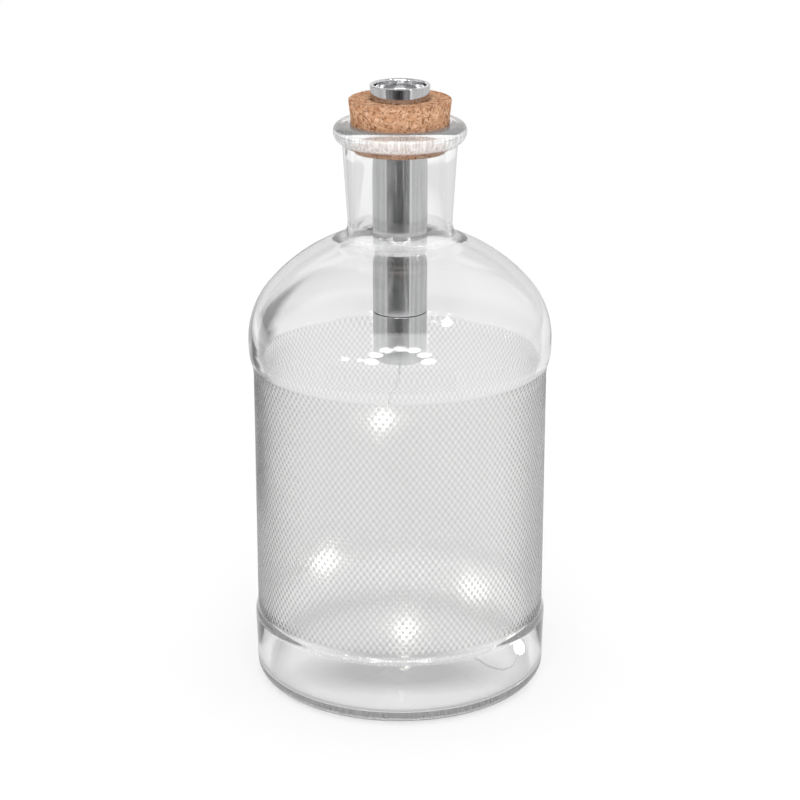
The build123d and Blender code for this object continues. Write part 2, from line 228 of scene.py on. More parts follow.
@dataclass
class Lathe:
    """Turns profiles into closed smooth meshes about the Z axis."""

    columns: int = 192

    @staticmethod
    def ring(mesh: bmesh.types.BMesh, radius: float, height: float, count: int) -> Ring:
        """Adds a ring of vertices, or one vertex on the axis.

        Args:
            mesh: Mesh to add to.
            radius: Radius in millimetres.
            height: Height in millimetres.
            count: Vertices of a full ring.

        Returns:
            The ring's vertices.
        """
        if radius < NEAR_ZERO:
            return [mesh.verts.new((0.0, 0.0, height * MM))]
        reach = radius * MM
        turns = [2 * math.pi * index / count for index in range(count)]
        return [
            mesh.verts.new((reach * math.cos(turn), reach * math.sin(turn), height * MM))
            for turn in turns
        ]

    @staticmethod
    def weave(mesh: bmesh.types.BMesh, lower: Ring, upper: Ring, row: int) -> None:
        """Joins two rings of the finer band with triangles whose slant changes from cell to cell.

        Args:
            mesh: Mesh to add to.
            lower: First ring.
            upper: Next ring, with as many vertices.
            row: Number of the first ring in its band.
        """
        count = len(lower)
        for index in range(count):
            after = (index + 1) % count
            corners = (lower[index], lower[after], upper[after], upper[index])
            turn = (index + row) % 2
            first, second, third, fourth = corners[turn:] + corners[:turn]
            mesh.faces.new((first, second, third))
            mesh.faces.new((first, third, fourth))

    @staticmethod
    def bridge(mesh: bmesh.types.BMesh, few: Ring, many: Ring) -> None:
        """Joins two rings, where the larger has a whole number of vertices for each of the other.

        Args:
            mesh: Mesh to add to.
            few: One ring, or the axis vertex.
            many: The other ring, or the axis vertex.
        """
        if len(many) < len(few):
            few, many = many, few
        count = len(many)
        if len(few) == 1:
            for index in range(count):
                mesh.faces.new((few[0], many[index], many[(index + 1) % count]))
            return
        share = count // len(few)
        for index, near in enumerate(few):
            after = few[(index + 1) % len(few)]
            start = index * share
            if share == 1:
                mesh.faces.new((near, after, many[(start + 1) % count], many[start]))
                continue
            split = (share + 1) // 2
            for step in range(share):
                pivot = near if step < split else after
                place = start + step
                mesh.faces.new((pivot, many[place % count], many[(place + 1) % count]))
            mesh.faces.new((near, many[(start + split) % count], after))

    def turn(
        self,
        name: str,
        profile: Sequence[Point],
        fine: Optional[FineBand] = None,
        loop: bool = True,
    ) -> Piece:
        """Makes a turned object.

        Args:
            name: Name of the object.
            profile: Points of radius and height in millimetres.
            fine: Finer outside band, if there is one.
            loop: Whether the last ring joins the first, as round a bore.

        Returns:
            The new object.
        """
        mesh = bmesh.new()
        widest = max(radius for radius, _ in profile)
        rings = []
        for radius, height in profile:
            count = fine.columns if fine and fine.holds(radius, height, widest) else self.columns
            rings.append(self.ring(mesh, radius, height, count))
        row = 0
        for before, after in zip(rings, rings[1:]):
            if fine and len(before) == len(after) == fine.columns:
                self.weave(mesh, before, after, row)
                row += 1
            else:
                self.bridge(mesh, before, after)
        if loop and len(rings[0]) > 1 and len(rings[-1]) > 1:
            self.bridge(mesh, rings[-1], rings[0])
        bmesh.ops.recalc_face_normals(mesh, faces=mesh.faces)
        for face in mesh.faces:
            face.smooth = True
        data = bpy.data.meshes.new(name)
        mesh.to_mesh(data)
        mesh.free()
        return add_object(name, data)


def add_object(name: str, data: bpy.types.ID) -> Piece:
    """Puts a new object in the scene, at the origin.

    Args:
        name: Name of the object.
        data: Mesh, curve, light or camera that it shows.

    Returns:
        The new object.
    """
    piece = bpy.data.objects.new(name, data)
    bpy.context.scene.collection.objects.link(piece)
    return piece


# Node trees


def opaque(shade: Union[float, Triple]) -> tuple[float, float, float, float]:
    """Gives a colour or a grey as four parts, the last of them 1."""
    red, green, blue = shade if isinstance(shade, tuple) else (shade,) * 3
    return red, green, blue, 1.0


class Graph:
    """A node tree of any kind, built in a few words."""

    def __init__(self, tree: bpy.types.NodeTree) -> None:
        """Takes the tree to add to."""
        self.tree = tree

    def node(self, kind: str, inputs: Optional[dict] = None, **settings) -> bpy.types.Node:
        """Adds a node.

        Args:
            kind: Blender's name of the node type.
            inputs: Values or sockets by input name or number.
            settings: Properties of the node.

        Returns:
            The new node.
        """
        node = self.tree.nodes.new(kind)
        for key, setting in settings.items():
            setattr(node, key, setting)
        for key, given in (inputs or {}).items():
            self.feed(node, key, given)
        return node

    def output(self, kind: str, inputs: Optional[dict] = None, **settings) -> Socket:
        """Adds a node and returns its first output."""
        return self.node(kind, inputs, **settings).outputs[0]

    def feed(self, node: bpy.types.Node, key: Union[str, int], given: Union[Value, tuple]) -> None:
        """Links a socket to a node's input, or sets its value.

        Args:
            node: Node to feed.
            key: Name or number of the input.
            given: Socket or value.
        """
        if isinstance(given, Socket):
            self.tree.links.new(given, node.inputs[key])
        else:
            node.inputs[key].default_value = given

    def math(self, operation: str, first: Value, second: Value = 0.0) -> Socket:
        """Adds a Math node and returns its output."""
        return self.output("ShaderNodeMath", {0: first, 1: second}, operation=operation)

    def product(self, first: Value, *others: Value) -> Value:
        """Multiplies values, one after the other."""
        return reduce(lambda total, other: self.math("MULTIPLY", total, other), others, first)

    def below(self, count: Socket, limit: int) -> Socket:
        """Gives 1 where a whole number is below a limit."""
        return self.math("LESS_THAN", count, limit - 0.5)

    def above(self, count: Socket, limit: int) -> Socket:
        """Gives 1 where a whole number is above a limit."""
        return self.math("GREATER_THAN", count, limit + 0.5)

    def vector(self, operation: str, first: Socket, second: Spot = ORIGIN) -> Socket:
        """Adds a Vector Math node and returns its vector."""
        return self.output("ShaderNodeVectorMath", {0: first, 1: second}, operation=operation)

    def length(self, vector: Socket) -> Socket:
        """Gives a vector's length."""
        return self.node("ShaderNodeVectorMath", {0: vector}, operation="LENGTH").outputs["Value"]

    def parts(self, vector: Socket) -> Sequence[Socket]:
        """Gives a vector's three parts."""
        return self.node("ShaderNodeSeparateXYZ", {0: vector}).outputs

    def stretched(self, vector: Socket, scale: Triple) -> Socket:
        """Gives coordinates scaled by an amount for each axis."""
        return self.output("ShaderNodeMapping", {"Vector": vector, "Scale": scale})

    def spread(self, value: Socket, given: Point, wanted: Point = (0.0, 1.0)) -> Socket:
        """Maps a value from one range onto another, clamped."""
        ends = dict(zip(("From Min", "From Max", "To Min", "To Max"), given + wanted))
        return self.output("ShaderNodeMapRange", {"Value": value, **ends})

    def ramp(self, value: Socket, stops: Iterable[tuple[float, Union[float, Triple]]]) -> Socket:
        """Adds a colour ramp.

        Args:
            value: Value to look up.
            stops: Places on the ramp, each with its colour or grey.

        Returns:
            The ramp's colour.
        """
        node = self.node("ShaderNodeValToRGB", {"Fac": value})
        elements = node.color_ramp.elements
        for index, (spot, shade) in enumerate(stops):
            element = elements[index] if index < 2 else elements.new(spot)
            element.position = spot
            element.color = opaque(shade)
        return node.outputs[0]

    def mix(self, share: Value, first: Shade, second: Shade, way: str = "MIX") -> Socket:
        """Adds a colour mix.

        Args:
            share: Share of the second colour, clamped.
            first: Colour, grey or socket at share 0.
            second: Colour, grey or socket at share 1.
            way: Blender's name of the kind of mix.

        Returns:
            The mixed colour.
        """
        first, second = (one if isinstance(one, Socket) else opaque(one) for one in (first, second))
        inputs = {0: share, 6: first, 7: second}
        return self.node("ShaderNodeMix", inputs, data_type="RGBA", blend_type=way).outputs[2]

    def noise(self, where: Socket, scale: Value, detail: float = 2.0, rough: float = 0.5) -> Socket:
        """Adds a noise: its waves per unit, its octaves and the share of the finer ones."""
        inputs = {"Vector": where, "Scale": scale, "Detail": detail, "Roughness": rough}
        return self.output("ShaderNodeTexNoise", inputs)

    def window(self, value: Socket, span: Point, soft: float) -> Socket:
        """Gives 1 where a value lies in a span, fading to 0 over a soft margin inside its ends."""
        ends = (span[0], span[0] + soft), (span[1], span[1] - soft)
        return self.product(*(self.spread(value, end) for end in ends))

    def round_parts(self, place: Socket) -> tuple[Socket, Socket, Socket]:
        """Splits a point into its parts about the Z axis.

        Args:
            place: The point.

        Returns:
            Its turn in radians, its distance from the axis and its height.
        """
        x, y, z = self.parts(place)
        squares = self.math("ADD", self.product(x, x), self.product(y, y))
        return self.math("ARCTAN2", y, x), self.math("SQRT", squares), z

    def diamonds(self, place: Socket, around: Value, low: Value, pitch: Value) -> list[Socket]:
        """Adds how far a point lies from the middle of its diamond, along the pattern's two ways.

        Args:
            place: Point on the patterned band.
            around: Number of diamonds in a row.
            low: Height where the pattern starts.
            pitch: Height of a diamond.

        Returns:
            Two amounts, each 0 at the diamond's middle and 1 at its edges.
        """
        turn, _, height = self.round_parts(place)
        cells = self.product(self.math("DIVIDE", turn, 2 * math.pi), around)
        rows = self.math("DIVIDE", self.math("SUBTRACT", height, low), pitch)
        offsets = []
        for operation in ("ADD", "SUBTRACT"):
            family = self.math(operation, cells, rows)
            off = self.math("SUBTRACT", family, self.math("ROUND", family))
            offsets.append(self.product(self.math("ABSOLUTE", off), 2.0))
        return offsets

    def hollow(self, offsets: Sequence[Socket], steepness: float = 1.25) -> Socket:
        """Gives a diamond's depth at two offsets: flat in the middle, 1 and steep at corners."""
        first, second = (self.product(off, off) for off in offsets)
        return self.math("POWER", self.product(self.math("ADD", first, second), 0.5), steepness)


class Tree(Graph):
    """A geometry node tree with named inputs for its sizes and its finish."""

    def __init__(self, name: str) -> None:
        """Starts an empty tree with a geometry input, a finish and a geometry output.

        Args:
            name: Name of the tree.
        """
        super().__init__(bpy.data.node_groups.new(name, "GeometryNodeTree"))
        self.names: dict[str, str] = {}
        for way in ("INPUT", "OUTPUT"):
            self.tree.interface.new_socket("Geometry", in_out=way, socket_type="NodeSocketGeometry")
        self.source = self.tree.nodes.new("NodeGroupInput")
        self.result = self.tree.nodes.new("NodeGroupOutput")
        self.finish = self.value("Finish", Input.MATERIAL)

    @property
    def geometry(self) -> Socket:
        """Geometry that the tree is given."""
        return self.source.outputs[0]

    def value(self, name: str, kind: Input = Input.FLOAT) -> Socket:
        """Adds a named input.

        Args:
            name: Name of the input.
            kind: Kind of the input.

        Returns:
            The socket that gives its value inside the tree.
        """
        item = self.tree.interface.new_socket(name, in_out="INPUT", socket_type=kind.value)
        self.names[name] = item.identifier
        return next(spot for spot in self.source.outputs if spot.identifier == item.identifier)

    def scaled(self, vector: Socket, amount: Value) -> Socket:
        """Multiplies a vector by an amount."""
        return self.output("ShaderNodeVectorMath", {0: vector, "Scale": amount}, operation="SCALE")

    def moved(self, geometry: Socket, offset: Socket) -> Socket:
        """Moves the geometry's points by an offset."""
        return self.output("GeometryNodeSetPosition", {"Geometry": geometry, "Offset": offset})

    def skin(self, line: Socket, section: Socket) -> Socket:
        """Draws a section along a line, closed at its ends."""
        inputs = {"Curve": line, "Profile Curve": section, "Fill Caps": True}
        return self.output("GeometryNodeCurveToMesh", inputs)

    def circle(self, radius: Socket, sides: int) -> Socket:
        """Gives a circle as a section."""
        inputs = {"Resolution": sides, "Radius": radius}
        return self.output("GeometryNodeCurvePrimitiveCircle", inputs)

    def smooth(self, geometry: Socket) -> Socket:
        """Shades the geometry smooth."""
        return self.output("GeometryNodeSetShadeSmooth", {"Geometry": geometry})

    def close(self, geometry: Socket) -> "Tree":
        """Ends the tree: real geometry for every instance, and the finish.

        Args:
            geometry: Geometry to hand out.

        Returns:
            The tree itself.
        """
        real = self.output("GeometryNodeRealizeInstances", {"Geometry": geometry})
        inputs = {"Geometry": real, "Material": self.finish}
        dressed = self.output("GeometryNodeSetMaterial", inputs)
        self.tree.links.new(dressed, self.result.inputs[0])
        return self

    def grow(self, piece: Piece, finish: Material, sizes: dict) -> None:
        """Runs the tree on an object and keeps the result as its plain mesh.

        Args:
            piece: Object whose mesh is the tree's input.
            finish: Material of the result.
            sizes: Value of each other named input.
        """
        modifier = piece.modifiers.new(self.tree.name, "NODES")
        modifier.node_group = self.tree
        for name, amount in {"Finish": finish, **sizes}.items():
            modifier[self.names[name]] = amount
        seen = piece.evaluated_get(bpy.context.evaluated_depsgraph_get())
        grown = bpy.data.meshes.new_from_object(seen)
        piece.modifiers.remove(modifier)
        piece.data = grown


def knurl_tree(crease_from: float = 0.96) -> Tree:
    """Builds the tree that presses a round band into rows of staggered, domed diamonds.

    Args:
        crease_from: Offset in a diamond past which its edges are sharp.

    Returns:
        The tree.
    """
    tree = Tree("diamond_knurl")
    around = tree.value("Diamonds Around", Input.COUNT)
    names = ("Row Pitch", "Depth", "Low", "High", "Least Radius")
    pitch, depth, low, high, inside = map(tree.value, names)
    place = tree.output("GeometryNodeInputPosition")
    _, radius, height = tree.round_parts(place)
    offsets = tree.diamonds(place, around, low, pitch)
    chosen = tree.product(
        tree.math("GREATER_THAN", height, low),
        tree.math("LESS_THAN", height, high),
        tree.math("GREATER_THAN", radius, inside),
    )
    fall = tree.product(tree.hollow(offsets), chosen, depth, -1.0)
    outward = tree.vector("NORMALIZE", tree.vector("MULTIPLY", place, LEVEL))
    pressed = tree.smooth(tree.moved(tree.geometry, tree.scaled(outward, fall)))
    edge = tree.math("GREATER_THAN", tree.math("MAXIMUM", *offsets), crease_from)
    crease = {"Geometry": pressed, "Selection": tree.product(edge, chosen), "Shade Smooth": False}
    return tree.close(tree.output("GeometryNodeSetShadeSmooth", crease, domain="EDGE"))


def pitting_tree(pit_from: float = 0.54, pit_slope: float = 6.0, lump_share: float = 0.3) -> Tree:
    """Builds the tree that sinks pits and a soft unevenness into a surface.

    Args:
        pit_from: Noise past which a pit starts.
        pit_slope: How fast a pit falls to its depth.
        lump_share: Scale of the unevenness as a share of the pits' scale.

    Returns:
        The tree.
    """
    tree = Tree("cork_pits")
    grain, pit, sag, seed = map(tree.value, ("Grain", "Pit Depth", "Unevenness", "Seed"))
    place = tree.output("GeometryNodeInputPosition")
    shift = tree.output("ShaderNodeCombineXYZ", {0: seed, 1: seed, 2: seed})
    where = tree.vector("ADD", place, shift)
    scale = tree.math("DIVIDE", 1.0, grain)
    pores = tree.noise(where, scale)
    lumps = tree.noise(where, tree.product(scale, lump_share), 1.0)
    over = tree.math("MAXIMUM", tree.math("SUBTRACT", pores, pit_from), 0.0)
    sunk = tree.math("ADD", tree.product(over, pit_slope, pit), tree.product(lumps, sag))
    normal = tree.output("GeometryNodeInputNormal")
    return tree.close(tree.moved(tree.geometry, tree.scaled(normal, tree.product(sunk, -1.0))))


def twin_wire_tree(sides: int = 10) -> Tree:
    """Builds the tree that lays two strands round the line of the light string.

    Args:
        sides: Sides of a strand.

    Returns:
        The tree.
    """
    tree = Tree("twin_wire")
    strand, lay, step = map(tree.value, ("Strand Radius", "Lay", "Step"))
    line = tree.output("GeometryNodeMeshToCurve", {"Mesh": tree.geometry})
    even = tree.output("GeometryNodeResampleCurve", {"Curve": line, "Length": step}, mode="LENGTH")
    run = tree.node("GeometryNodeSplineParameter").outputs["Length"]
    twist = tree.product(tree.math("DIVIDE", run, lay), 2 * math.pi)
    normal = tree.output("GeometryNodeInputNormal")
    along = tree.output("GeometryNodeInputTangent")
    side = tree.vector("CROSS_PRODUCT", along, normal)
    section = tree.circle(strand, sides)
    joined = tree.node("GeometryNodeJoinGeometry")
    for phase in (0.0, math.pi):
        angle = tree.math("ADD", twist, phase)
        first = tree.scaled(normal, tree.product(tree.math("COSINE", angle), strand))
        second = tree.scaled(side, tree.product(tree.math("SINE", angle), strand))
        laid = tree.moved(even, tree.vector("ADD", first, second))
        tree.tree.links.new(tree.skin(laid, section), joined.inputs[0])
    return tree.close(tree.smooth(joined.outputs[0]))


def bead_tree() -> Tree:
    """Builds the tree that sets a resin bead on each light's point, turned along the wire.

    Returns:
        The tree.
    """
    tree = Tree("resin_beads")
    bead = tree.value("Bead", Input.OBJECT)
    points = tree.output("GeometryNodeMeshToPoints", {"Mesh": tree.geometry})
    shape = tree.node("GeometryNodeObjectInfo", {"Object": bead}).outputs["Geometry"]
    way = {"Name": "along"}
    along = tree.output("GeometryNodeInputNamedAttribute", way, data_type="FLOAT_VECTOR")
    turn = tree.output("FunctionNodeAlignRotationToVector", {"Vector": along}, axis="Z")
    placed = {"Points": points, "Instance": shape, "Rotation": turn}
    return tree.close(tree.output("GeometryNodeInstanceOnPoints", placed))


def thread_tree(steps: int = 96, sides: int = 4) -> Tree:
    """Builds the tree that winds a screw thread's ridge about the axis.

    Args:
        steps: Spans in one turn.
        sides: Sides of the ridge.

    Returns:
        The tree.
    """
    tree = Tree("screw_thread")
    names = ("Radius", "Height", "Pitch", "Ridge", "Low")
    radius, height, pitch, ridge, low = map(tree.value, names)
    turns = tree.math("DIVIDE", height, pitch)
    sizes = {"Rotations": turns, "Start Radius": radius, "End Radius": radius, "Height": height}
    helix = tree.output("GeometryNodeCurveSpiral", {"Resolution": steps, **sizes})
    winding = tree.skin(helix, tree.circle(ridge, sides))
    lift = tree.output("ShaderNodeCombineXYZ", {2: low})
    raised = tree.output("GeometryNodeTransform", {"Geometry": winding, "Translation": lift})
    return tree.close(raised)


# Finishes


class Shader(Graph):
    """One material's node tree."""

    def __init__(self, name: str) -> None:
        """Starts a material with a plain principled shader.

        Args:
            name: Name of the material.
        """
        self.material = bpy.data.materials.new(name)
        self.material.use_nodes = True
        super().__init__(self.material.node_tree)
        self.surface = self.tree.nodes["Principled BSDF"]
        self.place = self.node("ShaderNodeTexCoord").outputs["Object"]

    def set(self, **inputs) -> None:
        """Sets or links inputs of the principled shader, with _ for a space in their names."""
        for key, given in inputs.items():
            self.feed(self.surface, key.replace("_", " "), given)

    def carried(self, name: str) -> Socket:
        """Gives a value that the mesh carries at each point."""
        return self.node("ShaderNodeAttribute", attribute_name=name).outputs["Fac"]

    def bump(self, height: Socket, distance: float, strength: float = 1.0) -> None:
        """Adds a bump: its height from 0 to 1, its depth in metres and the share that shows."""
        inputs = {"Height": height, "Distance": distance, "Strength": strength}
        self.set(Normal=self.output("ShaderNodeBump", inputs))


@dataclass(frozen=True)
class Knurl:
    """Rows of staggered, domed diamonds round the bottle's panel, in millimetres."""

    low: float = 23.0
    high: float = 103.8
    pitch: float = 2.65
    around: int = 144
    row_rings: int = 4
    depth: float = 0.2
    crown: float = 0.05
    inside: float = 44.2
    edge: float = 0.5
    dull: float = 0.25


@dataclass(frozen=True)
class Cloud:
    """Ring of the glass that scatters a share of the light in upright streaks, in millimetres."""

    inner: float
    outer: float
    low: float
    high: float
    share: Point
    soft: float = 0.7
    streaks: Point = (0.35, 0.65)

    def amount(self, shader: Shader, radius: Socket, height: Socket, streak: Socket) -> Socket:
        """Adds the share of light that the ring scatters.

        Args:
            shader: Material to add to.
            radius: Distance from the axis.
            height: Height over the table.
            streak: Streaks that run up the glass.

        Returns:
            The share, 0 outside the ring.
        """
        return shader.product(
            shader.window(radius, (self.inner * MM, self.outer * MM), self.soft * MM),
            shader.window(height, (self.low * MM, self.high * MM), self.soft * MM),
            shader.spread(streak, self.streaks, self.share),
        )


@dataclass(frozen=True)
class Glass:
    """Clear blown glass: faint waves, domed diamonds with painted light on their tops and painted
    shade in their grooves, and hazy rings.
    """

    name: str = "clear_glass"
    colour: Triple = (0.945, 0.948, 0.946)
    # painted light and shade: the knurl's tint is lighter on the diamonds' tops and darker down in
    # their grooves
    painted_diamond_shading: tuple[tuple[float, Triple], ...] = (
        (0.03, (0.99, 0.992, 0.99)),
        (0.2, (0.87, 0.875, 0.87)),
        (0.5, (0.66, 0.665, 0.66)),
    )
    # painted light: the glass is tinted lighter from the neck up, so that the neck renders brighter
    neck: Triple = (0.99, 0.992, 0.99)
    painted_neck_light_from: Point = (0.140, 0.150)
    index: float = 1.50
    wave: float = 0.03
    wave_detail: float = 1.5
    wave_depth: float = 0.06
    streak: float = 1500.0
    streak_stretch: Triple = (1.0, 1.0, 0.03)
    streak_rough: float = 0.6
    knurl: Knurl = Knurl()
    clouds: tuple[Cloud, ...] = (
        Cloud(inner=15.4, outer=22.0, low=170.6, high=175.4, share=(0.4, 0.72)),
        Cloud(inner=14.0, outer=22.0, low=174.4, high=178.0, share=(0.22, 0.3)),
        Cloud(inner=13.2, outer=20.4, low=139.0, high=147.0, share=(0.12, 0.16)),
        Cloud(inner=16.2, outer=21.0, low=141.2, high=145.6, share=(0.26, 0.34)),
        Cloud(inner=44.4, outer=47.0, low=19.8, high=23.2, share=(0.22, 0.3)),
        Cloud(inner=42.3, outer=47.0, low=1.2, high=5.0, share=(0.24, 0.34)),
    )

    def material(self) -> Material:
        """Builds the finish.

        Returns:
            Its material.
        """
        shader = Shader(self.name)
        knurl = self.knurl
        _, radius, height = shader.round_parts(shader.place)
        low, high, pitch = knurl.low * MM, knurl.high * MM, knurl.pitch * MM
        sunk = shader.hollow(shader.diamonds(shader.place, knurl.around, low, pitch))
        upright = shader.window(height, (low, high), knurl.edge * MM)
        band = shader.product(upright, shader.math("GREATER_THAN", radius, knurl.inside * MM))
        grooved = shader.product(sunk, band)
        waves = shader.noise(shader.place, 1 / self.wave, self.wave_detail)
        waves = shader.product(waves, self.wave_depth)
        shader.bump(shader.math("SUBTRACT", waves, shader.product(grooved, knurl.crown)), MM)
        # painted light and shade: lighter tint on the diamonds' tops, darker tint in their grooves
        tone = shader.mix(band, self.colour, shader.ramp(grooved, self.painted_diamond_shading))
        upward = shader.stretched(shader.place, self.streak_stretch)
        streak = shader.noise(upward, self.streak, detail=3.0, rough=self.streak_rough)
        clear = 1.0
        for cloud in self.clouds:
            clear = shader.math("SUBTRACT", clear, cloud.amount(shader, radius, height, streak))
        shader.set(
            # painted light: the tint turns lighter from the neck up
            Base_Color=shader.mix(shader.spread(height, self.painted_neck_light_from), tone, self.neck),
            Roughness=shader.product(band, knurl.dull),
            IOR=self.index,
            Transmission_Weight=clear,
        )
        return shader.material


@dataclass(frozen=True)
class Cork:
    """Pressed cork: crumbs of several tones, with pale dust, dark bark and small holes."""

    name: str = "pressed_cork"
    crumb: float = 0.0011
    tones: tuple[Triple, ...] = (
        (0.36, 0.14, 0.06), (0.60, 0.31, 0.165), (0.68, 0.39, 0.23),
        (0.60, 0.32, 0.17), (0.80, 0.51, 0.34)
    )
    bark: Triple = (0.19, 0.062, 0.022)
    pale: Triple = (0.90, 0.67, 0.50)
    wander: float = 1.1
    bend: float = 2.2
    grit: float = 1.7
    sprinkle: float = 0.8
    dust: Point = (0.55, 0.72)
    dust_share: float = 0.55
    holes: Point = (0.47, 0.40)
    hole_patches: Point = (0.36, 0.5)
    rough: Point = (0.95, 0.75)
    shine: float = 0.2
    relief: float = 0.0003
    relief_share: float = 0.6

    def material(self) -> Material:
        """Builds the finish.

        Returns:
            Its material.
        """
        shader = Shader(self.name)
        drift = {"Vector": shader.place, "Scale": self.wander / self.crumb, "Detail": 2.0}
        wander = shader.node("ShaderNodeTexNoise", drift).outputs["Color"]
        away = shader.vector("SUBTRACT", wander, (0.5, 0.5, 0.5))
        shift = {0: away, 1: (self.bend * self.crumb,) * 3, 2: shader.place}
        bent = shader.output("ShaderNodeVectorMath", shift, operation="MULTIPLY_ADD")
        cells = shader.node("ShaderNodeTexVoronoi", {"Vector": bent, "Scale": 1 / self.crumb})
        pick = shader.output("ShaderNodeSeparateColor", {0: cells.outputs["Color"]})
        last = len(self.tones) - 1
        stops = [(index / last, colour) for index, colour in enumerate(self.tones)]
        tone = shader.ramp(pick, stops)
        grit = shader.noise(bent, self.grit / self.crumb, detail=4.0, rough=0.65)
        sprinkle = shader.noise(shader.place, self.sprinkle / self.crumb, rough=0.55)
        dusted = shader.mix(shader.spread(grit, self.dust, (0.0, self.dust_share)), tone, self.pale)
        patches = shader.spread(sprinkle, self.hole_patches)
        holes = shader.product(shader.spread(grit, self.holes), patches)
        shader.set(
            Base_Color=shader.mix(holes, dusted, self.bark),
            Roughness=shader.spread(grit, NOISE_SPAN, self.rough),
            Specular_IOR_Level=self.shine,
        )
        shader.bump(shader.math("SUBTRACT", grit, holes), self.relief, self.relief_share)
        return shader.material


@dataclass(frozen=True)
class Metal:
    """Polished or drawn metal with fine lines along its length and a faint haze."""

    name: str
    colour: Triple
    shine: Point
    line: float
    ripple: float = 0.00001
    line_stretch: Triple = (1.0, 1.0, 0.04)
    haze: float = 120.0
    hazed: Point = (0.1, 0.45)
    dull: float = 0.88
    dull_lines: Point = (0.35, 0.6)

    def material(self) -> Material:
        """Builds the finish.

        Returns:
            Its material.
        """
        shader = Shader(self.name)
        lengthwise = shader.stretched(shader.place, self.line_stretch)
        drawn = shader.noise(lengthwise, 1 / self.line, detail=3.0)
        haze = shader.noise(shader.place, self.haze, detail=4.0)
        dull = tuple(self.dull * part for part in self.colour)
        shader.set(
            Base_Color=shader.ramp(drawn, zip(self.dull_lines, (dull, self.colour))),
            Metallic=1.0,
            Roughness=shader.spread(shader.product(drawn, haze), self.hazed, self.shine),
        )
        shader.bump(drawn, self.ripple)
        return shader.material


@dataclass(frozen=True)
class Moulded:
    """Moulded plastic, rubber, laminate or film: one tone, slightly varied, and a fine grain."""

    name: str
    colour: Triple
    rough: float
    grain: float
    relief: float = 0.00001
    relief_share: float = 0.5
    variation: float = 0.15
    patches: float = 160.0
    rough_play: float = 0.08

    def material(self) -> Material:
        """Builds the finish.

        Returns:
            Its material.
        """
        shader = Shader(self.name)
        patches = shader.noise(shader.place, self.patches, detail=3.0)
        dark = tuple(part * (1 - self.variation) for part in self.colour)
        light = tuple(min(1.0, part * (1 + self.variation)) for part in self.colour)
        grit = shader.noise(shader.place, 1 / self.grain)
        rough = (self.rough - self.rough_play, self.rough + self.rough_play)
        shader.set(
            Base_Color=shader.ramp(patches, zip(NOISE_SPAN, (dark, light))),
            Roughness=shader.spread(grit, NOISE_SPAN, rough),
        )
        shader.bump(grit, self.relief, self.relief_share)
        return shader.material


@dataclass(frozen=True)
class Glow:
    """Lit resin or chip: bright at its middle, paler towards its skin."""

    name: str
    colour: Triple
    strength: Point
    clear: float
    skin: Triple = (0.95, 0.95, 0.93)
    speckle: float = 900.0
    rough: Point = (0.08, 0.2)
    core: Point = (0.0, 1.5)

    def material(self) -> Material:
        """Builds the finish.

        Returns:
            Its material.
        """
        shader = Shader(self.name)
        speckle = shader.noise(shader.place, self.speckle)
        core = shader.product(shader.carried("core"), shader.math("ADD", speckle, 1.0))
        shader.set(
            Base_Color=opaque(self.skin),
            Roughness=shader.spread(speckle, NOISE_SPAN, self.rough),
            Transmission_Weight=self.clear,
            Emission_Color=opaque(self.colour),
            Emission_Strength=shader.spread(core, self.core, self.strength),
        )
        return shader.material


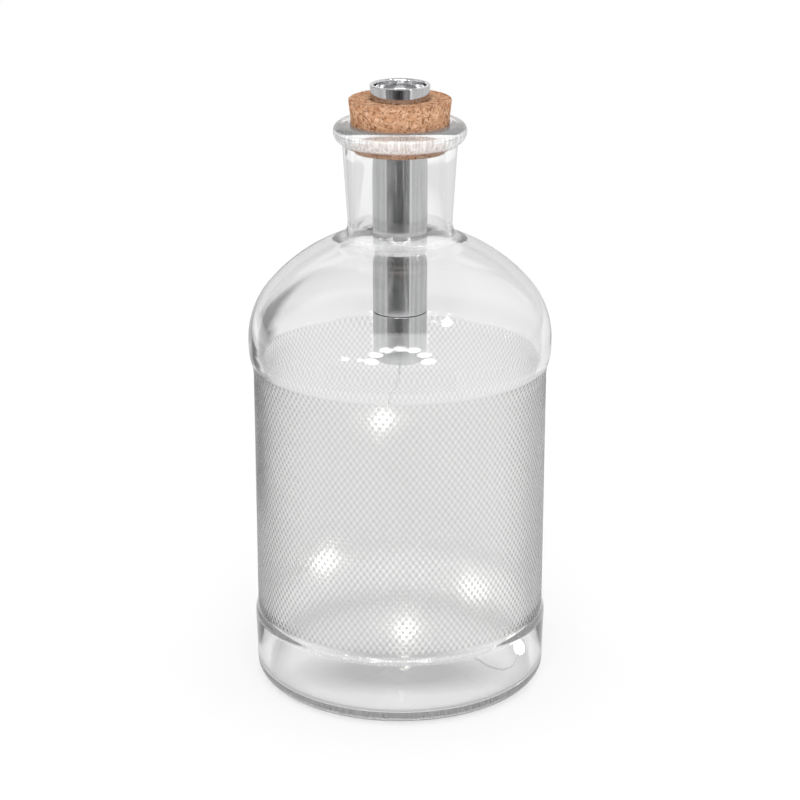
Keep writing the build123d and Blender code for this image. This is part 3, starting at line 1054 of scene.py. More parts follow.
class Finishes:
    """Every finish of the light, each made once."""

    def __init__(self) -> None:
        """Builds the materials that the scene's own pieces take too."""
        chrome = Metal("polished_tube", (0.80, 0.80, 0.81), shine=(0.05, 0.16), line=0.0012)
        wire = Moulded("silver_lacquer", (0.93, 0.93, 0.92), 0.3, grain=0.0004, variation=0.1)
        resin = Glow("lit_resin", (1.0, 0.985, 0.95), strength=(0.9, 2.2), clear=0.4)
        self.glass = Glass().material()
        self.cork = Cork().material()
        self.chrome = chrome.material()
        self.wire = wire.material()
        self.resin = resin.material()

    def dress_nodes(self) -> None:
        """Gives every CAD node its finish."""
        nodes = frame["nodes"]
        dies = [name for name in nodes if name.startswith("led_die")]
        drops = [name for name in nodes if name.startswith("led_drop")]
        steel = Metal("drawn_steel", (0.62, 0.61, 0.59), (0.2, 0.4), line=0.0008, ripple=0.00002)
        brass = Metal("contact_brass", (0.83, 0.60, 0.26), shine=(0.15, 0.35), line=0.0006)
        tin = Metal("tinned_lead", (0.72, 0.70, 0.66), shine=(0.25, 0.45), line=0.0004)
        rubber = Moulded("black_rubber", (0.018, 0.018, 0.019), 0.62, grain=0.0004, relief=0.00002)
        button = Moulded("grey_button", (0.30, 0.30, 0.31), 0.42, grain=0.0005, relief=0.00003)
        switch = Moulded("switch_plastic", (0.05, 0.05, 0.055), 0.5, grain=0.0006, relief=0.00002)
        film = Moulded("cell_film", (0.33, 0.35, 0.38), 0.3, grain=0.001)
        board = Moulded("board_laminate", (0.03, 0.16, 0.07), 0.45, grain=0.0003, relief=0.00002)
        ferrite = Moulded("coil_ferrite", (0.045, 0.043, 0.04), 0.7, grain=0.0004, relief=0.00004)
        chip = Moulded("chip_case", (0.02, 0.02, 0.022), 0.55, grain=0.0002)
        ceramic = Moulded("capacitor_ceramic", (0.42, 0.30, 0.18), 0.4, grain=0.0003)
        die = Glow("lit_chip", (1.0, 0.98, 0.93), strength=(5.0, 8.0), clear=0.0)
        plan = (
            (self.glass, ["bottle"]),
            (self.cork, ["cork_stopper"]),
            (self.chrome, ["battery_tube", "end_cap", "top_cap"]),
            (self.wire, ["string_wire"]),
            (self.resin, drops),
            (steel.material(), ["cell_can", "cell_terminal", "tail_spring"]),
            (brass.material(), ["switch_retainer", "positive_contact"]),
            (tin.material(), ["board_leads"]),
            (rubber.material(), ["seam_gasket", "cap_o_ring", "wire_grommet"]),
            (button.material(), ["button"]),
            (switch.material(), ["switch_plunger", "switch_housing"]),
            (film.material(), ["cell_sleeve"]),
            (board.material(), ["driver_board"]),
            (ferrite.material(), ["driver_coil"]),
            (chip.material(), ["driver_chip"]),
            (ceramic.material(), ["driver_capacitor"]),
            (die.material(), dies),
        )
        for material, names in plan:
            for name in names:
                paint(nodes[name], material)


def paint(piece: Piece, material: Material) -> None:
    """Puts one material on the whole of an object.

    Args:
        piece: Object to dress.
        material: Its material.
    """
    slots = piece.data.materials
    if len(slots) == 0:
        slots.append(material)
    for index in range(len(slots)):
        slots[index] = material


def settle(piece: Piece, body: Body, nodes: Sequence[str] = ()) -> None:
    """Hangs a finished piece on its body.

    Args:
        piece: The finished piece.
        body: Body that it moves with.
        nodes: CAD nodes that it stands for.
    """
    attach(piece, body.value)
    if nodes:
        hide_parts(*nodes)
    LOG.info("%s: %d faces on %s", piece.name, len(piece.data.polygons), body.value)


# Sub-assemblies


@dataclass
class Bottle:
    """Glass bottle: foot, heel band, knurled panel, shoulder, dome, neck, lip and inside."""

    finishes: Finishes
    heel_radius: float = 45.8
    heel_draft: float = 0.45
    heel_round: float = 4.4
    heel_height: float = 20.2
    panel_radius: float = 45.0
    panel_low: float = 23.0
    panel_high: float = 98.6
    shoulder_radius: float = 46.4
    shoulder_low: float = 107.6
    dome_base: float = 110.2
    shoulder_round: float = 24.2
    dome_rise: float = 34.5
    neck_low_radius: float = 15.6
    neck_high_radius: float = 17.3
    neck_length: float = 28.14
    neck_root: float = 4.2
    lip_radius: float = 20.05
    lip_height: float = 6.24
    lip_round: float = 2.6
    lip_root: float = 0.6
    wall: float = 2.8
    floor: float = 2.8
    floor_crown: float = 1.2
    base_round: float = 2.5
    foot_width: float = 6.6
    foot_edge: float = 0.8
    punt_rise: float = 1.2
    punt_end: Point = (1.0, 0.07)
    mouth_radius: float = 14.88
    mouth_edge: float = 0.8
    bore_radius: float = 13.76
    bore_height: float = 166.95
    bore_edge: float = 1.5
    bore_root: float = 7.0
    dome_steps: tuple[int, int] = (16, 14)
    dome_skip: float = 1.0
    round_steps: int = 12
    inner_steps: int = 10
    corner_steps: int = 7
    knurl: Knurl = Knurl()

    @property
    def dome_reach(self) -> float:
        """Radius where the centre of the dome's lower arc lies."""
        return self.shoulder_radius - self.shoulder_round

    @property
    def crown_radius(self) -> float:
        """Radius of the dome's upper arc."""
        over = 2 * (self.dome_rise - self.shoulder_round)
        return (self.dome_reach ** 2 + self.dome_rise ** 2 - self.shoulder_round ** 2) / over

    @property
    def crown_centre(self) -> float:
        """Height of the centre of the dome's upper arc."""
        return self.dome_base + self.dome_rise - self.crown_radius

    @property
    def lip_low(self) -> float:
        """Height where the neck runs into the lip."""
        foot = math.sqrt(self.crown_radius ** 2 - self.neck_low_radius ** 2)
        return self.crown_centre + foot + self.neck_length

    def skin(self, height: float) -> float:
        """Works out the wall's outer radius between the heel and the dome.

        Args:
            height: Height to look at.

        Returns:
            The radius there.
        """
        low, high = (self.panel_radius, self.panel_high), (self.shoulder_radius, self.shoulder_low)
        if height < self.panel_low:
            low, high = (self.heel_radius, self.heel_height), (self.panel_radius, self.panel_low)
        return self.swell(height, low, high)

    @staticmethod
    def swell(height: float, low: Point, high: Point) -> float:
        """Gives a radius on two equal arcs between two points, upright at both.

        Args:
            height: Height to look at.
            low: Lower point.
            high: Upper point.

        Returns:
            The radius there, or the nearer point's beyond them.
        """
        over = high[0] - low[0]
        rise = high[1] - low[1]
        bend = (rise ** 2 + over ** 2) / (4 * abs(over))
        climb = min(max(height - low[1], 0.0), rise)
        sag = math.copysign(bend - math.sqrt(bend ** 2 - min(climb, rise - climb) ** 2), over)
        return low[0] + sag if climb < rise / 2 else high[0] - sag

    def dome(self, inset: float, end_radius: float) -> list[Point]:
        """Works out the dome's two arcs.

        Args:
            inset: How far inside the outer skin the arcs lie.
            end_radius: Radius where the upper arc ends.

        Returns:
            Points from the shoulder up to the neck.
        """
        reach, crown = self.dome_reach, self.crown_radius - inset
        turn = math.degrees(math.atan2(self.dome_base - self.crown_centre, reach))
        top = math.degrees(math.acos(end_radius / crown))
        lower, upper = self.dome_steps
        arcs = Outline().arc((reach, self.dome_base), self.shoulder_round - inset, 0, turn, lower)
        arcs.arc((0.0, self.crown_centre), crown, turn + self.dome_skip, top, upper)
        return [point for point, _ in arcs.stations]

    def walls(self, step_rings: int = 10, flare_rings: int = 8) -> list[float]:
        """Gives the heights of the wall's rings, close together on step, knurl and flare.

        Args:
            step_rings: Spans on the step over the heel.
            flare_rings: Spans on the flare under the shoulder.

        Returns:
            The heights in millimetres.
        """
        low, high = self.knurl.low, self.knurl.high
        row = self.knurl.pitch / self.knurl.row_rings
        heel = self.heel_height
        step = [heel + (low - heel) * index / step_rings for index in range(step_rings)]
        knurl = [low + row * index for index in range(math.floor((high - low) / row) + 1)]
        rise = self.shoulder_low - high
        flare = [high + rise * index / flare_rings for index in range(flare_rings + 1)]
        return step + knurl + flare

    def outside(self, outline: Outline) -> None:
        """Adds the outside, from under the punt up to the lip's top.

        Args:
            outline: Empty outline.
        """
        foot = self.heel_radius - self.heel_draft - self.heel_round
        widest = self.lip_low + self.lip_height - self.lip_round
        over = self.lip_radius - self.neck_high_radius
        under = ((widest - self.lip_low) ** 2 + over ** 2) / (2 * over)
        lean = math.degrees(math.asin((widest - self.lip_low) / under))
        dome = self.dome(0.0, self.neck_low_radius)
        gap, drop = self.punt_end
        sole = foot - self.foot_width
        outline.to(0.0, self.punt_rise).bow((sole - gap, drop), self.round_steps // 2)
        outline.to(sole, 0.0, self.foot_edge)
        outline.arc((foot, self.heel_round), self.heel_round, -90, 0, self.round_steps)
        outline.path((self.skin(height), height) for height in self.walls())
        outline.path(dome[:-1]).to(*dome[-1], self.neck_root)
        outline.to(self.neck_high_radius, self.lip_low, self.lip_root)
        outline.arc((self.lip_radius - under, widest), under, -lean, 0, self.round_steps)
        lip = (self.lip_radius - self.lip_round, widest)
        outline.arc(lip, self.lip_round, 0, 90, self.round_steps)

    def inside(self, outline: Outline, floor_steps: int = 8) -> None:
        """Adds the inside, from the mouth down to the middle of the floor.

        Args:
            outline: Outline that ends on the lip.
            floor_steps: Spans of the crowned floor.
        """
        inner = self.panel_radius - self.wall
        dome = self.dome(self.wall, self.bore_radius)[::-1]
        fall = self.panel_high - self.shoulder_low
        steps = self.inner_steps
        flare = [self.shoulder_low + fall * step / steps for step in range(steps + 1)]
        base = (inner - self.base_round, self.floor + self.base_round)
        outline.to(self.mouth_radius, self.lip_low + self.lip_height, self.mouth_edge)
        outline.to(self.bore_radius, self.bore_height, self.bore_edge)
        outline.to(*dome[0], self.bore_root).path(dome[1:])
        outline.path((self.skin(height) - self.wall, height) for height in flare)
        outline.arc(base, self.base_round, 0, -90, steps)
        outline.bow((0.0, self.floor + self.floor_crown), floor_steps)

    def build(self, margin: float = 0.1) -> None:
        """Makes the glass with its knurl.

        Args:
            margin: How far inside the knurl's ends its finer rings start.
        """
        knurl = self.knurl
        outline = Outline()
        self.outside(outline)
        self.inside(outline)
        band = FineBand(knurl.low + margin, knurl.high - margin, knurl.row_rings * knurl.around)
        profile = outline.points(self.corner_steps)
        glass = Lathe(knurl.around).turn("bottle_glass", profile, fine=band, loop=False)
        knurl_tree().grow(glass, self.finishes.glass, {
            "Diamonds Around": knurl.around,
            "Row Pitch": knurl.pitch * MM,
            "Depth": knurl.depth * MM,
            "Low": knurl.low * MM,
            "High": knurl.high * MM,
            "Least Radius": knurl.inside * MM,
        })
        settle(glass, Body.BOTTLE, ["bottle"])


@dataclass
class Stopper:
    """Cork with its battery tube and the tube's end cup."""

    finishes: Finishes
    cork_low: float = 168.447
    cork_top: float = 183.947
    cork_top_radius: float = 15.55
    cork_taper: float = 6.5
    cork_gap: float = 0.05
    cork_edges: Point = (0.6, 0.75)
    cork_rings: tuple[int, int, int] = (8, 30, 12)
    cork_columns: int = 256
    edge_steps: tuple[int, int] = (4, 5)
    countersink: float = 1.1
    crumb: float = 1.1
    pit_depth: float = 0.35
    unevenness: float = 0.18
    pit_seed: float = 4.7
    tube_radius: float = 8.2
    tube_low: float = 118.25
    tube_top: float = 183.85
    tube_wall: float = 0.75
    tube_edges: Point = (0.15, 0.2)
    tube_lap: float = 0.5
    seam: float = 117.95
    end_low: float = 102.95
    end_floor: float = 1.2
    end_wall: float = 0.9
    end_round: float = 0.7
    end_edges: Triple = (0.2, 0.15, 0.1)
    grommet_radius: float = 1.65

    def cork(self) -> None:
        """Makes the pitted cork."""
        low, top, top_radius = self.cork_low, self.cork_top, self.cork_top_radius
        low_radius = top_radius - (top - low) * math.tan(math.radians(self.cork_taper))
        bore = self.tube_radius + self.cork_gap
        under, side, over = self.cork_rings
        outline = Outline().to(bore, low).run(low_radius, low, under, self.cork_edges[0])
        outline.run(top_radius, top, side, self.cork_edges[1])
        outline.run(bore + self.countersink, top, over).run(bore, top - self.countersink, 2)
        cork = Lathe(self.cork_columns).turn("cork_body", outline.points())
        pitting_tree().grow(cork, self.finishes.cork, {
            "Grain": self.crumb * MM,
            "Pit Depth": self.pit_depth * MM,
            "Unevenness": self.unevenness * MM,
            "Seed": self.pit_seed,
        })
        settle(cork, Body.STOPPER, ["cork_stopper"])

    def tube(self) -> None:
        """Makes the polished tube."""
        low, top = self.tube_low, self.tube_top
        bore = self.tube_radius - self.tube_wall
        inner, outer = self.tube_edges
        outline = Outline().to(bore, low, inner).to(self.tube_radius, low, outer)
        outline.to(self.tube_radius, top, outer).to(bore, top, inner).to(bore, low + self.tube_lap)
        tube = Lathe().turn("polished_tube", outline.points(self.edge_steps[0]))
        paint(tube, self.finishes.chrome)
        settle(tube, Body.STOPPER, ["battery_tube"])

    def end(self) -> None:
        """Makes the end cap's cup."""
        inside = self.tube_radius - self.end_wall
        floor_top = self.end_low + self.end_floor
        hole, rim, inner_rim = self.end_edges
        outline = Outline().to(self.grommet_radius, self.end_low, hole)
        outline.to(self.tube_radius, self.end_low, self.end_round)
        outline.to(self.tube_radius, self.seam, rim).to(inside, self.seam, inner_rim)
        outline.to(inside, floor_top).to(self.grommet_radius, floor_top)
        cup = Lathe().turn("end_cup", outline.points(self.edge_steps[1]))
        paint(cup, self.finishes.chrome)
        settle(cup, Body.STOPPER, ["end_cap"])

    def build(self) -> None:
        """Makes the three pieces."""
        for make in (self.cork, self.tube, self.end):
            make()


@dataclass
class ScrewCap:
    """Dished screw cap with its threaded spigot."""

    finishes: Finishes
    seat: float = 183.95
    crown_tilt: float = 0.5
    side_lean: float = 0.3
    top: float = 188.147
    radius: float = 9.1
    taper: float = 0.63
    rim_round: float = 0.5
    edge: float = 0.15
    edge_steps: int = 5
    skirt_radius: float = 8.27
    skirt_low: float = 183.5
    skirt_edges: Point = (0.03, 0.06)
    recess_radius: float = 7.75
    recess_floor: float = 184.847
    button_bore: float = 5.8
    button_lip: float = 0.9
    spigot_radius: float = 7.37
    spigot_bore: float = 6.52
    spigot_low: float = 175.95
    groove_drop: float = 1.3
    groove_width: float = 0.7
    collar: Point = (0.5, 0.4)
    pitch: float = 1.0
    thread_depth: float = 0.3
    thread_ends: Point = (0.4, 1.0)

    def build(self) -> None:
        """Makes the cap and its thread."""
        root = self.spigot_radius - self.thread_depth
        groove_top = self.seat - self.groove_drop
        groove_low = groove_top - self.groove_width
        groove = self.spigot_radius - self.groove_width
        under = self.recess_floor - self.button_lip
        inner, outer = self.skirt_edges
        spigot, low = self.spigot_radius, self.spigot_low
        outline = Outline().to(self.spigot_bore, low).to(root, low, self.edge)
        outline.to(root, groove_low - self.collar[0]).to(spigot, groove_low - self.collar[1])
        outline.to(spigot, groove_low).to(groove, groove_low).to(groove, groove_top)
        outline.to(spigot, groove_top).to(spigot, self.seat)
        outline.to(self.skirt_radius, self.seat, inner).to(self.skirt_radius, self.skirt_low)
        outline.to(self.radius - self.taper, self.skirt_low, outer)
        outline.to(self.radius, self.top, self.rim_round)
        outline.to(self.recess_radius, self.top, self.rim_round)
        outline.to(self.recess_radius, self.recess_floor, self.rim_round)
        outline.to(self.button_bore, self.recess_floor, self.edge).to(self.button_bore, under)
        outline.to(self.spigot_bore, under)
        cap = Lathe().turn("dished_cap", outline.points(self.edge_steps))
        self.crown(cap)
        paint(cap, self.finishes.chrome)
        settle(cap, Body.CAP, ["top_cap"])
        start, stop = self.spigot_low + self.thread_ends[0], groove_low - self.thread_ends[1]
        thread = add_object("cap_thread", bpy.data.meshes.new("cap_thread"))
        thread_tree().grow(thread, self.finishes.chrome, {
            "Radius": root * MM,
            "Height": (stop - start) * MM,
            "Pitch": self.pitch * MM,
            "Ridge": self.thread_depth * MM,
            "Low": start * MM,
        })
        settle(thread, Body.CAP)

    def crown(self, cap: Piece) -> None:
        """Leans the shading of the cap's side upward, as on a slightly crowned band.

        Args:
            cap: The turned cap.
        """
        mesh = cap.data
        tilt = math.radians(self.crown_tilt)
        normals = [Vector(corner.vector) for corner in mesh.corner_normals]
        for face in mesh.polygons:
            middle = face.center
            outside = math.hypot(middle.x, middle.y) > (self.radius - self.taper) * MM
            upright = abs(face.normal.z) < self.side_lean
            if not outside or not upright or middle.z < self.skirt_low * MM:
                continue
            for corner in face.loop_indices:
                spot = mesh.vertices[mesh.loops[corner].vertex_index].co
                out = Vector((spot.x, spot.y, 0.0)).normalized() * math.cos(tilt)
                normals[corner] = out + Vector((0.0, 0.0, math.sin(tilt)))
        mesh.normals_split_custom_set(normals)


@dataclass
class LightString:
    """Twin wire with five lit beads, hanging from the grommet and lying on the bottle's floor."""

    finishes: Finishes
    diameter: float = 0.7
    lay: float = 4.2
    step: float = 0.35
    bead_length: float = 5.0
    bead_radius: float = 1.7
    bead_fullness: float = 0.8
    bead_steps: int = 16
    bead_columns: int = 24
    lights: int = 5
    order: int = 3
    resolution: int = 16
    route: tuple[Triple, ...] = (
        (0.0, 0.0, 101.55), (0.0, 0.0, 96.8), (-3.4, -0.6, 89.7), (-7.4, 0.6, 76.3),
        (-4.8, 3.2, 66.4), (2.8, 6.2, 58.6), (7.8, 4.6, 48.9), (4.6, -1.6, 41.0),
        (-5.0, -4.2, 37.4), (-16.2, -2.8, 36.6), (-31.0, 2.8, 33.0), (-36.4, -4.0, 27.0),
        (-34.6, -12.6, 19.6), (-26.5, -15.4, 12.6), (-14.6, -12.0, 9.0), (-3.8, -5.2, 8.4),
        (7.4, 9.2, 10.8), (9.6, 20.2, 13.4), (17.6, 29.4, 15.6), (31.8, 19.2, 12.2),
        (36.2, 9.6, 9.0), (32.6, -0.6, 7.4), (23.6, -4.2, 7.5), (19.8, -10.2, 7.5),
        (24.2, -13.6, 7.4), (27.4, -18.6, 7.3), (31.8, -20.6, 7.2), (35.2, -17.0, 7.3),
        (36.8, -12.4, 7.7), (38.1, -8.2, 8.7),
    )

    def line(self) -> list[Vector]:
        """Reads the smooth line of the string from its spline.

        Returns:
            Points along the line in metres.
        """
        curve = bpy.data.curves.new("string_line", "CURVE")
        curve.dimensions = "3D"
        curve.resolution_u = self.resolution
        spline = curve.splines.new("NURBS")
        spline.points.add(len(self.route) - 1)
        for point, (x, y, z) in zip(spline.points, self.route):
            point.co = (x * MM, y * MM, z * MM, 1.0)
        spline.order_u = self.order
        spline.use_endpoint_u = True
        holder = add_object("string_line", curve)
        seen = holder.evaluated_get(bpy.context.evaluated_depsgraph_get())
        mesh = bpy.data.meshes.new_from_object(seen)
        points = [vertex.co.copy() for vertex in mesh.vertices]
        bpy.data.meshes.remove(mesh)
        bpy.data.objects.remove(holder)
        return points

    def bead_shape(self) -> Piece:
        """Makes one bead about the Z axis, with how near each point is to its middle.

        Returns:
            The bead's scratch object.
        """
        outline = Outline()
        half = self.bead_length / 2
        for step in range(self.bead_steps + 1):
            angle = math.pi * step / self.bead_steps
            radius = self.bead_radius * math.sin(angle) ** self.bead_fullness
            outline.to(radius, -half * math.cos(angle))
        bead = Lathe(self.bead_columns).turn("bead_shape", outline.points(), loop=False)
        core = bead.data.attributes.new("core", "FLOAT", "POINT")
        for index, vertex in enumerate(bead.data.vertices):
            core.data[index].value = 1.0 - abs(vertex.co.z) / (half * MM)
        return bead

    def build(self) -> None:
        line = self.line()
        mesh = bpy.data.meshes.new("twin_wire")
        mesh.from_pydata(line, [(index, index + 1) for index in range(len(line) - 1)], [])
        wire = add_object("twin_wire", mesh)
        twin_wire_tree().grow(wire, self.finishes.wire, {
            "Strand Radius": self.diameter / 4 * MM,
            "Lay": self.lay * MM,
            "Step": self.step * MM,
        })
        settle(wire, Body.STOPPER, ["string_wire"])
        beads = self.beads(line)

    def beads(self, line: Sequence[Vector]) -> Piece:
        """Sets a bead on the wire at each light.

        Args:
            line: Points along the string.

        Returns:
            The finished piece.
        """
        names = [f"led_drop_{number}" for number in range(1, self.lights + 1)]
        places = []
        ways = []
        for name in names:
            low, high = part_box(name)
            middle = (Vector(low) + Vector(high)) / 2
            nearest = min(range(len(line)), key=lambda index: (line[index] - middle).length)
            before = line[max(nearest - 1, 0)]
            after = line[min(nearest + 1, len(line) - 1)]
            places.append(line[nearest])
            ways.append((after - before).normalized())
        mesh = bpy.data.meshes.new("lit_beads")
        mesh.from_pydata(places, [], [])
        along = mesh.attributes.new("along", "FLOAT_VECTOR", "POINT")
        for index, way in enumerate(ways):
            along.data[index].vector = way
        beads = add_object("lit_beads", mesh)
        shape = self.bead_shape()
        bead_tree().grow(beads, self.finishes.resin, {"Bead": shape})
        bpy.data.objects.remove(shape)
        settle(beads, Body.STOPPER, names)
        return beads


@dataclass(frozen=True)
class SoftLight:
    """Soft light: where it hangs, its width and height in metres, its power and its outline."""

    name: str
    place: Triple
    size: Point
    watts: float
    shape: Lamp

    def hang(self, target: Triple) -> None:
        """Puts the light in the scene, turned to a point.

        Args:
            target: Point that it looks at.
        """
        data = bpy.data.lights.new(self.name, "AREA")
        data.shape = self.shape.value
        data.size, data.size_y = self.size
        data.energy = self.watts
        lamp = add_object(self.name, data)
        lamp.location = self.place
        aim = Vector(target) - Vector(self.place)
        lamp.rotation_euler = aim.to_track_quat("-Z", "Y").to_euler()
        lamp.visible_diffuse = self.shape is Lamp.BOX


@dataclass
class Studio:
    """White sweep of floor, soft light all round and the camera of the photograph."""

    distance: float = 0.6987
    height: float = 0.3304
    pitch: float = 19.05
    focal_pixels: float = 2388.3
    image_pixels: float = 800.0
    sensor: float = 36.0
    nearest: float = 0.01
    floor_size: float = 8.0
    floor_drop: float = 0.0002
    floor_grey: float = 0.98
    floor_own: float = 0.55
    floor_fade: float = 1.0
    # painted shade: seen through the glass the floor is darker under the bottle, has a dark ring
    # under the foot as a painted contact shadow, and greys beyond about 0.8 m
    floor_greys_painted_shade: tuple[Point, ...] = (
        (0.0, 0.86), (0.036, 0.86), (0.041, 0.5), (0.046, 0.5), (0.052, 0.9),
        (0.25, 0.97), (0.4, 0.95), (0.5, 1.0), (0.82, 1.0), (1.0, 0.78)
    )
    # painted shade: a darker patch on the floor under the middle of the bottle, seen only through
    # the glass
    shadow_patch_place: float = -0.011
    shadow_patch_reach: Point = (0.016, 0.007)
    shadow_patch_shape: Triple = (0.42, 1.0, 1.0)
    shadow_patch_grey: float = 0.46
    strip_span: Point = (-0.25, -0.105)
    strip_greys: tuple[Point, ...] = (
        (0.19, 0.95), (0.22, 0.27), (0.4, 0.3), (0.62, 0.42), (0.8, 0.95)
    )
    bright_span: Point = (0.02, 0.26)
    bright_reach: Point = (0.05, 0.3)
    bright_grey: float = 1.0
    strip_edge: float = 0.03
    wall_grey: float = 0.6
    room_grey: float = 0.8
    corner_turn: float = 2.46
    corner_half: float = 0.27
    corner_edge: float = 0.06
    corner_grey: float = 0.04
    corner_reach: Point = (0.15, 0.7)
    corner_fade: float = 0.05
    ceiling: Point = (0.75, 0.9)
    mirror_from: float = 0.275
    mirror_greys: tuple[Point, ...] = (
        (-180.0, 0.62), (-62.0, 0.6), (-58.0, 1.0), (-55.0, 0.3), (-24.0, 0.13), (-19.0, 0.05),
        (8.0, 0.05), (13.0, 0.14), (41.0, 0.26), (44.0, 1.0), (48.0, 0.64), (180.0, 0.62)
    )
    mirror_streak: float = 14.0
    mirror_waver: float = 0.02
    fold_stretch: Triple = (9.0, 2.0, 1.0)
    fold_greys: tuple[Point, ...] = ((0.38, 0.4), (0.52, 1.0), (0.66, 2.4))
    fold_below: float = 0.3
    target: Triple = (0.0, 0.0, 0.12)
    front: SoftLight = SoftLight("soft_front", (0.0, -1.0, 0.9), (0.9, 0.6), 4.0, Lamp.BOX)
    panes: tuple[SoftLight, ...] = (
        SoftLight("window_left", (-0.85, -0.97, 0.33), (0.09, 0.09), 0.6, Lamp.PANE),
        SoftLight("window_near", (-0.64, -1.11, 0.36), (0.07, 0.09), 0.5, Lamp.PANE),
        SoftLight("window_right", (0.56, -0.37, 1.1), (0.12, 0.12), 0.8, Lamp.PANE),
    )
    ribs: int = 7
    rib_middle: Triple = (0.0, -1.0, 0.3)
    rib_radius: float = 0.38
    rib_size: Point = (0.2, 0.15)
    rib_watts: float = 0.6

    def camera(self) -> None:
        """Sets the camera where the photograph was taken from."""
        data = bpy.data.cameras.new("camera")
        data.sensor_width = self.sensor
        data.lens = self.focal_pixels / self.image_pixels * self.sensor
        data.clip_start = self.nearest
        camera = add_object("camera", data)
        camera.location = (0.0, -self.distance, self.height)
        camera.rotation_euler = (math.radians(90 - self.pitch), 0.0, 0.0)
        bpy.context.scene.camera = camera

    def mirrored(self, graph: Graph, heading: Socket) -> Socket:
        """Adds the floor that polished faces mirror: dark by the camera, light grey aside.

        Args:
            graph: Node tree to add to.
            heading: Vector from the object to what it mirrors.

        Returns:
            The floor's colour there.
        """
        level = graph.vector("MULTIPLY", heading, LEVEL)
        x, y, _ = graph.parts(level)
        turn = graph.math("ARCTAN2", x, graph.product(y, -1.0))
        bearing = graph.spread(turn, (-math.pi, math.pi))
        way = graph.vector("NORMALIZE", level)
        streak = graph.noise(way, self.mirror_streak, detail=3.0, rough=0.6)
        waver = graph.spread(streak, NOISE_SPAN, (-self.mirror_waver, self.mirror_waver))
        stops = [((degrees + 180) / 360, grey) for degrees, grey in self.mirror_greys]
        greys = graph.ramp(graph.math("ADD", bearing, waver), stops)
        folds = graph.noise(graph.stretched(heading, self.fold_stretch), 1.0, detail=3.0)
        folded = graph.math("LESS_THAN", greys, self.fold_below)
        return graph.mix(folded, greys, graph.ramp(folds, self.fold_greys), "MULTIPLY")

    def corner(self, graph: Graph, heading: Socket) -> Socket:
        """Adds the dark corner of the room, behind the bottle on the left.

        Args:
            graph: Node tree to add to.
            heading: Vector from the object to what it shows.

        Returns:
            1 in the corner, 0 elsewhere.
        """
        turn, _, _ = graph.round_parts(heading)
        aside = graph.math("ABSOLUTE", graph.math("SUBTRACT", turn, self.corner_turn))
        return graph.spread(aside, (self.corner_half, self.corner_half - self.corner_edge))

    def world(self) -> None:
        """Lights the scene from all round, with a white background."""
        world = bpy.data.worlds.new("studio")
        world.use_nodes = True
        bpy.context.scene.world = world
        graph = Graph(world.node_tree)
        heading = graph.node("ShaderNodeTexCoord").outputs["Generated"]
        path = graph.node("ShaderNodeLightPath").outputs
        _, _, rise = graph.parts(heading)
        bare = graph.below(path["Transmission Depth"], 1)
        ceiling = graph.product(graph.spread(rise, self.ceiling), bare)
        dark = graph.math("MAXIMUM", self.corner(graph, heading), ceiling)
        room = graph.ramp(dark, [(0.0, self.room_grey), (1.0, self.corner_grey)])
        seen_through = graph.mix(path["Is Transmission Ray"], 1.0, self.wall_grey)
        lit = graph.mix(path["Diffuse Depth"], seen_through, 1.0)
        colour = graph.mix(path["Glossy Depth"], lit, room)
        graph.feed(world.node_tree.nodes["Background"], "Color", colour)

    def shown(self, shader: Shader, glances: Socket, walls: Socket) -> Socket:
        """Adds what glass and metal show of the floor: greys with a painted shadow under the bottle
        and round its foot, with dark and light parts.

        Args:
            shader: Material of the floor.
            glances: How often the ray was mirrored.
            walls: How many skins of glass it came through.

        Returns:
            The colour shown.
        """
        reach = shader.spread(shader.length(shader.place), (0.0, self.floor_fade))
        across, back, _ = shader.parts(shader.place)
        offset = shader.vector("SUBTRACT", shader.place, (0.0, self.shadow_patch_place, 0.0))
        away = shader.length(shader.vector("MULTIPLY", offset, self.shadow_patch_shape))
        # painted shade under the bottle's middle, over the floor's greys with their painted shadow
        # round the foot
        shadow_patch = shader.spread(away, self.shadow_patch_reach)
        sweep = shader.mix(shadow_patch, shader.ramp(reach, self.floor_greys_painted_shade), self.shadow_patch_grey)
        strip = shader.window(across, self.strip_span, self.strip_edge)
        strip = shader.product(shader.above(walls, 1), strip)
        sweep = shader.mix(strip, sweep, shader.ramp(back, self.strip_greys))
        bright = shader.product(
            shader.window(across, self.bright_span, self.strip_edge),
            shader.window(reach, self.bright_reach, self.strip_edge),
        )
        sweep = shader.mix(bright, sweep, self.bright_grey)
        once = shader.product(shader.above(glances, 0), shader.below(glances, 2))
        bare = shader.below(walls, 1)
        open_air = shader.math("ADD", bare, shader.above(walls, 3))
        metal = shader.product(once, open_air, shader.math("GREATER_THAN", reach, self.mirror_from))
        sweep = shader.mix(metal, sweep, self.mirrored(shader, shader.place))
        near = shader.window(reach, self.corner_reach, self.corner_fade)
        corner = shader.product(near, bare, once, self.corner(shader, shader.place))
        return shader.mix(corner, sweep, self.corner_grey)

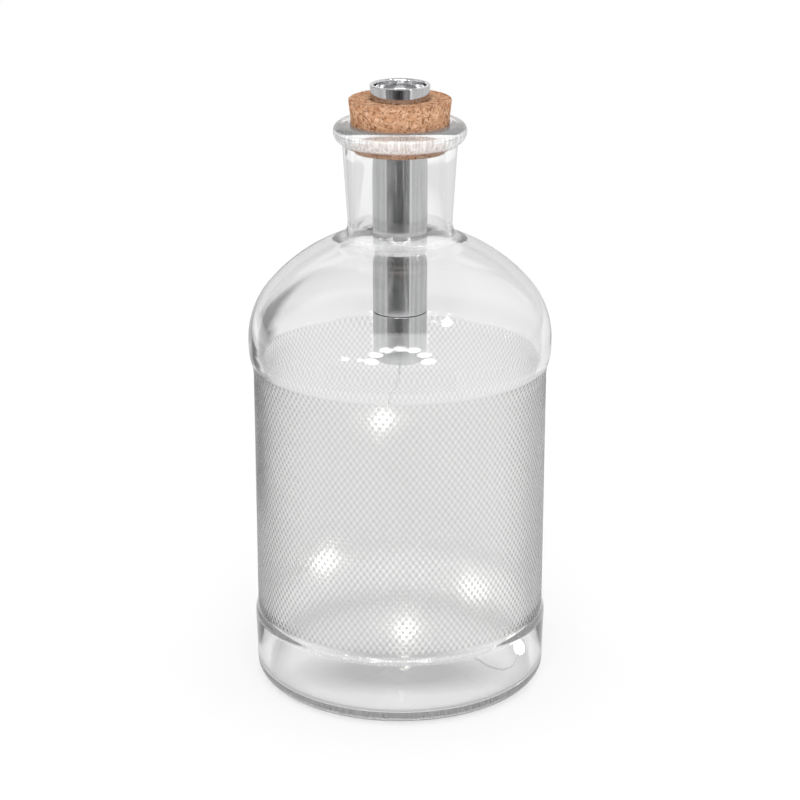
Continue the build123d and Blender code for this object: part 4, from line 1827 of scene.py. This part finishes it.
    def floor(self) -> None:
        """Lays the pale floor, which keeps the shadow; glass and metal show it as greys with a
        painted shadow under the bottle.
        """
        half = self.floor_size / 2
        mesh = bpy.data.meshes.new("floor")
        signs = ((-1, -1), (1, -1), (1, 1), (-1, 1))
        corners = [(x * half, y * half, -self.floor_drop) for x, y in signs]
        mesh.from_pydata(corners, [], [(0, 1, 2, 3)])
        floor = add_object("floor", mesh)
        shader = Shader("pale_floor")
        shader.set(Base_Color=opaque(self.floor_grey), Roughness=1.0, Specular_IOR_Level=0.0)
        path = shader.node("ShaderNodeLightPath").outputs
        shown = self.shown(shader, path["Glossy Depth"], path["Transmission Depth"])
        plain = shader.output("ShaderNodeEmission", {"Color": shown})
        white = shader.output("ShaderNodeEmission")
        own = shader.product(path["Is Camera Ray"], self.floor_own)
        matt = shader.surface.outputs[0]
        bare = shader.output("ShaderNodeMixShader", {0: own, 1: matt, 2: white})
        clear = shader.math("MAXIMUM", path["Is Transmission Ray"], path["Glossy Depth"])
        once = shader.math("MINIMUM", clear, 1.0)
        surface = shader.output("ShaderNodeMixShader", {0: once, 1: bare, 2: plain})
        shader.feed(shader.tree.nodes["Material Output"], "Surface", surface)
        mesh.materials.append(shader.material)

    def rib(self, number: int) -> SoftLight:
        """Gives one round light of the half circle that shines back from the dome.

        Args:
            number: Its number, from 0.

        Returns:
            The light.
        """
        angle = math.pi * number / (self.ribs - 1)
        x, y, z = self.rib_middle
        place = (x + self.rib_radius * math.cos(angle), y, z + self.rib_radius * math.sin(angle))
        return SoftLight(f"umbrella_{number + 1}", place, self.rib_size, self.rib_watts, Lamp.ROUND)

    def build(self) -> None:
        """Sets the camera, the floor and the light."""
        bpy.context.scene.view_settings.view_transform = "Standard"
        self.camera()
        self.world()
        self.floor()
        for light in (self.front, *map(self.rib, range(self.ribs)), *self.panes):
            light.hang(self.target)


def main() -> None:
    """Builds the studio and the light, piece by piece."""
    logging.basicConfig(level=logging.INFO, format="%(name)s: %(message)s")
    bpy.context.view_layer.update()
    Studio().build()
    finishes = Finishes()
    finishes.dress_nodes()
    for assembly in (LightString, Bottle, Stopper, ScrewCap):
        assembly(finishes).build()


if __name__ == "__main__":
    main()
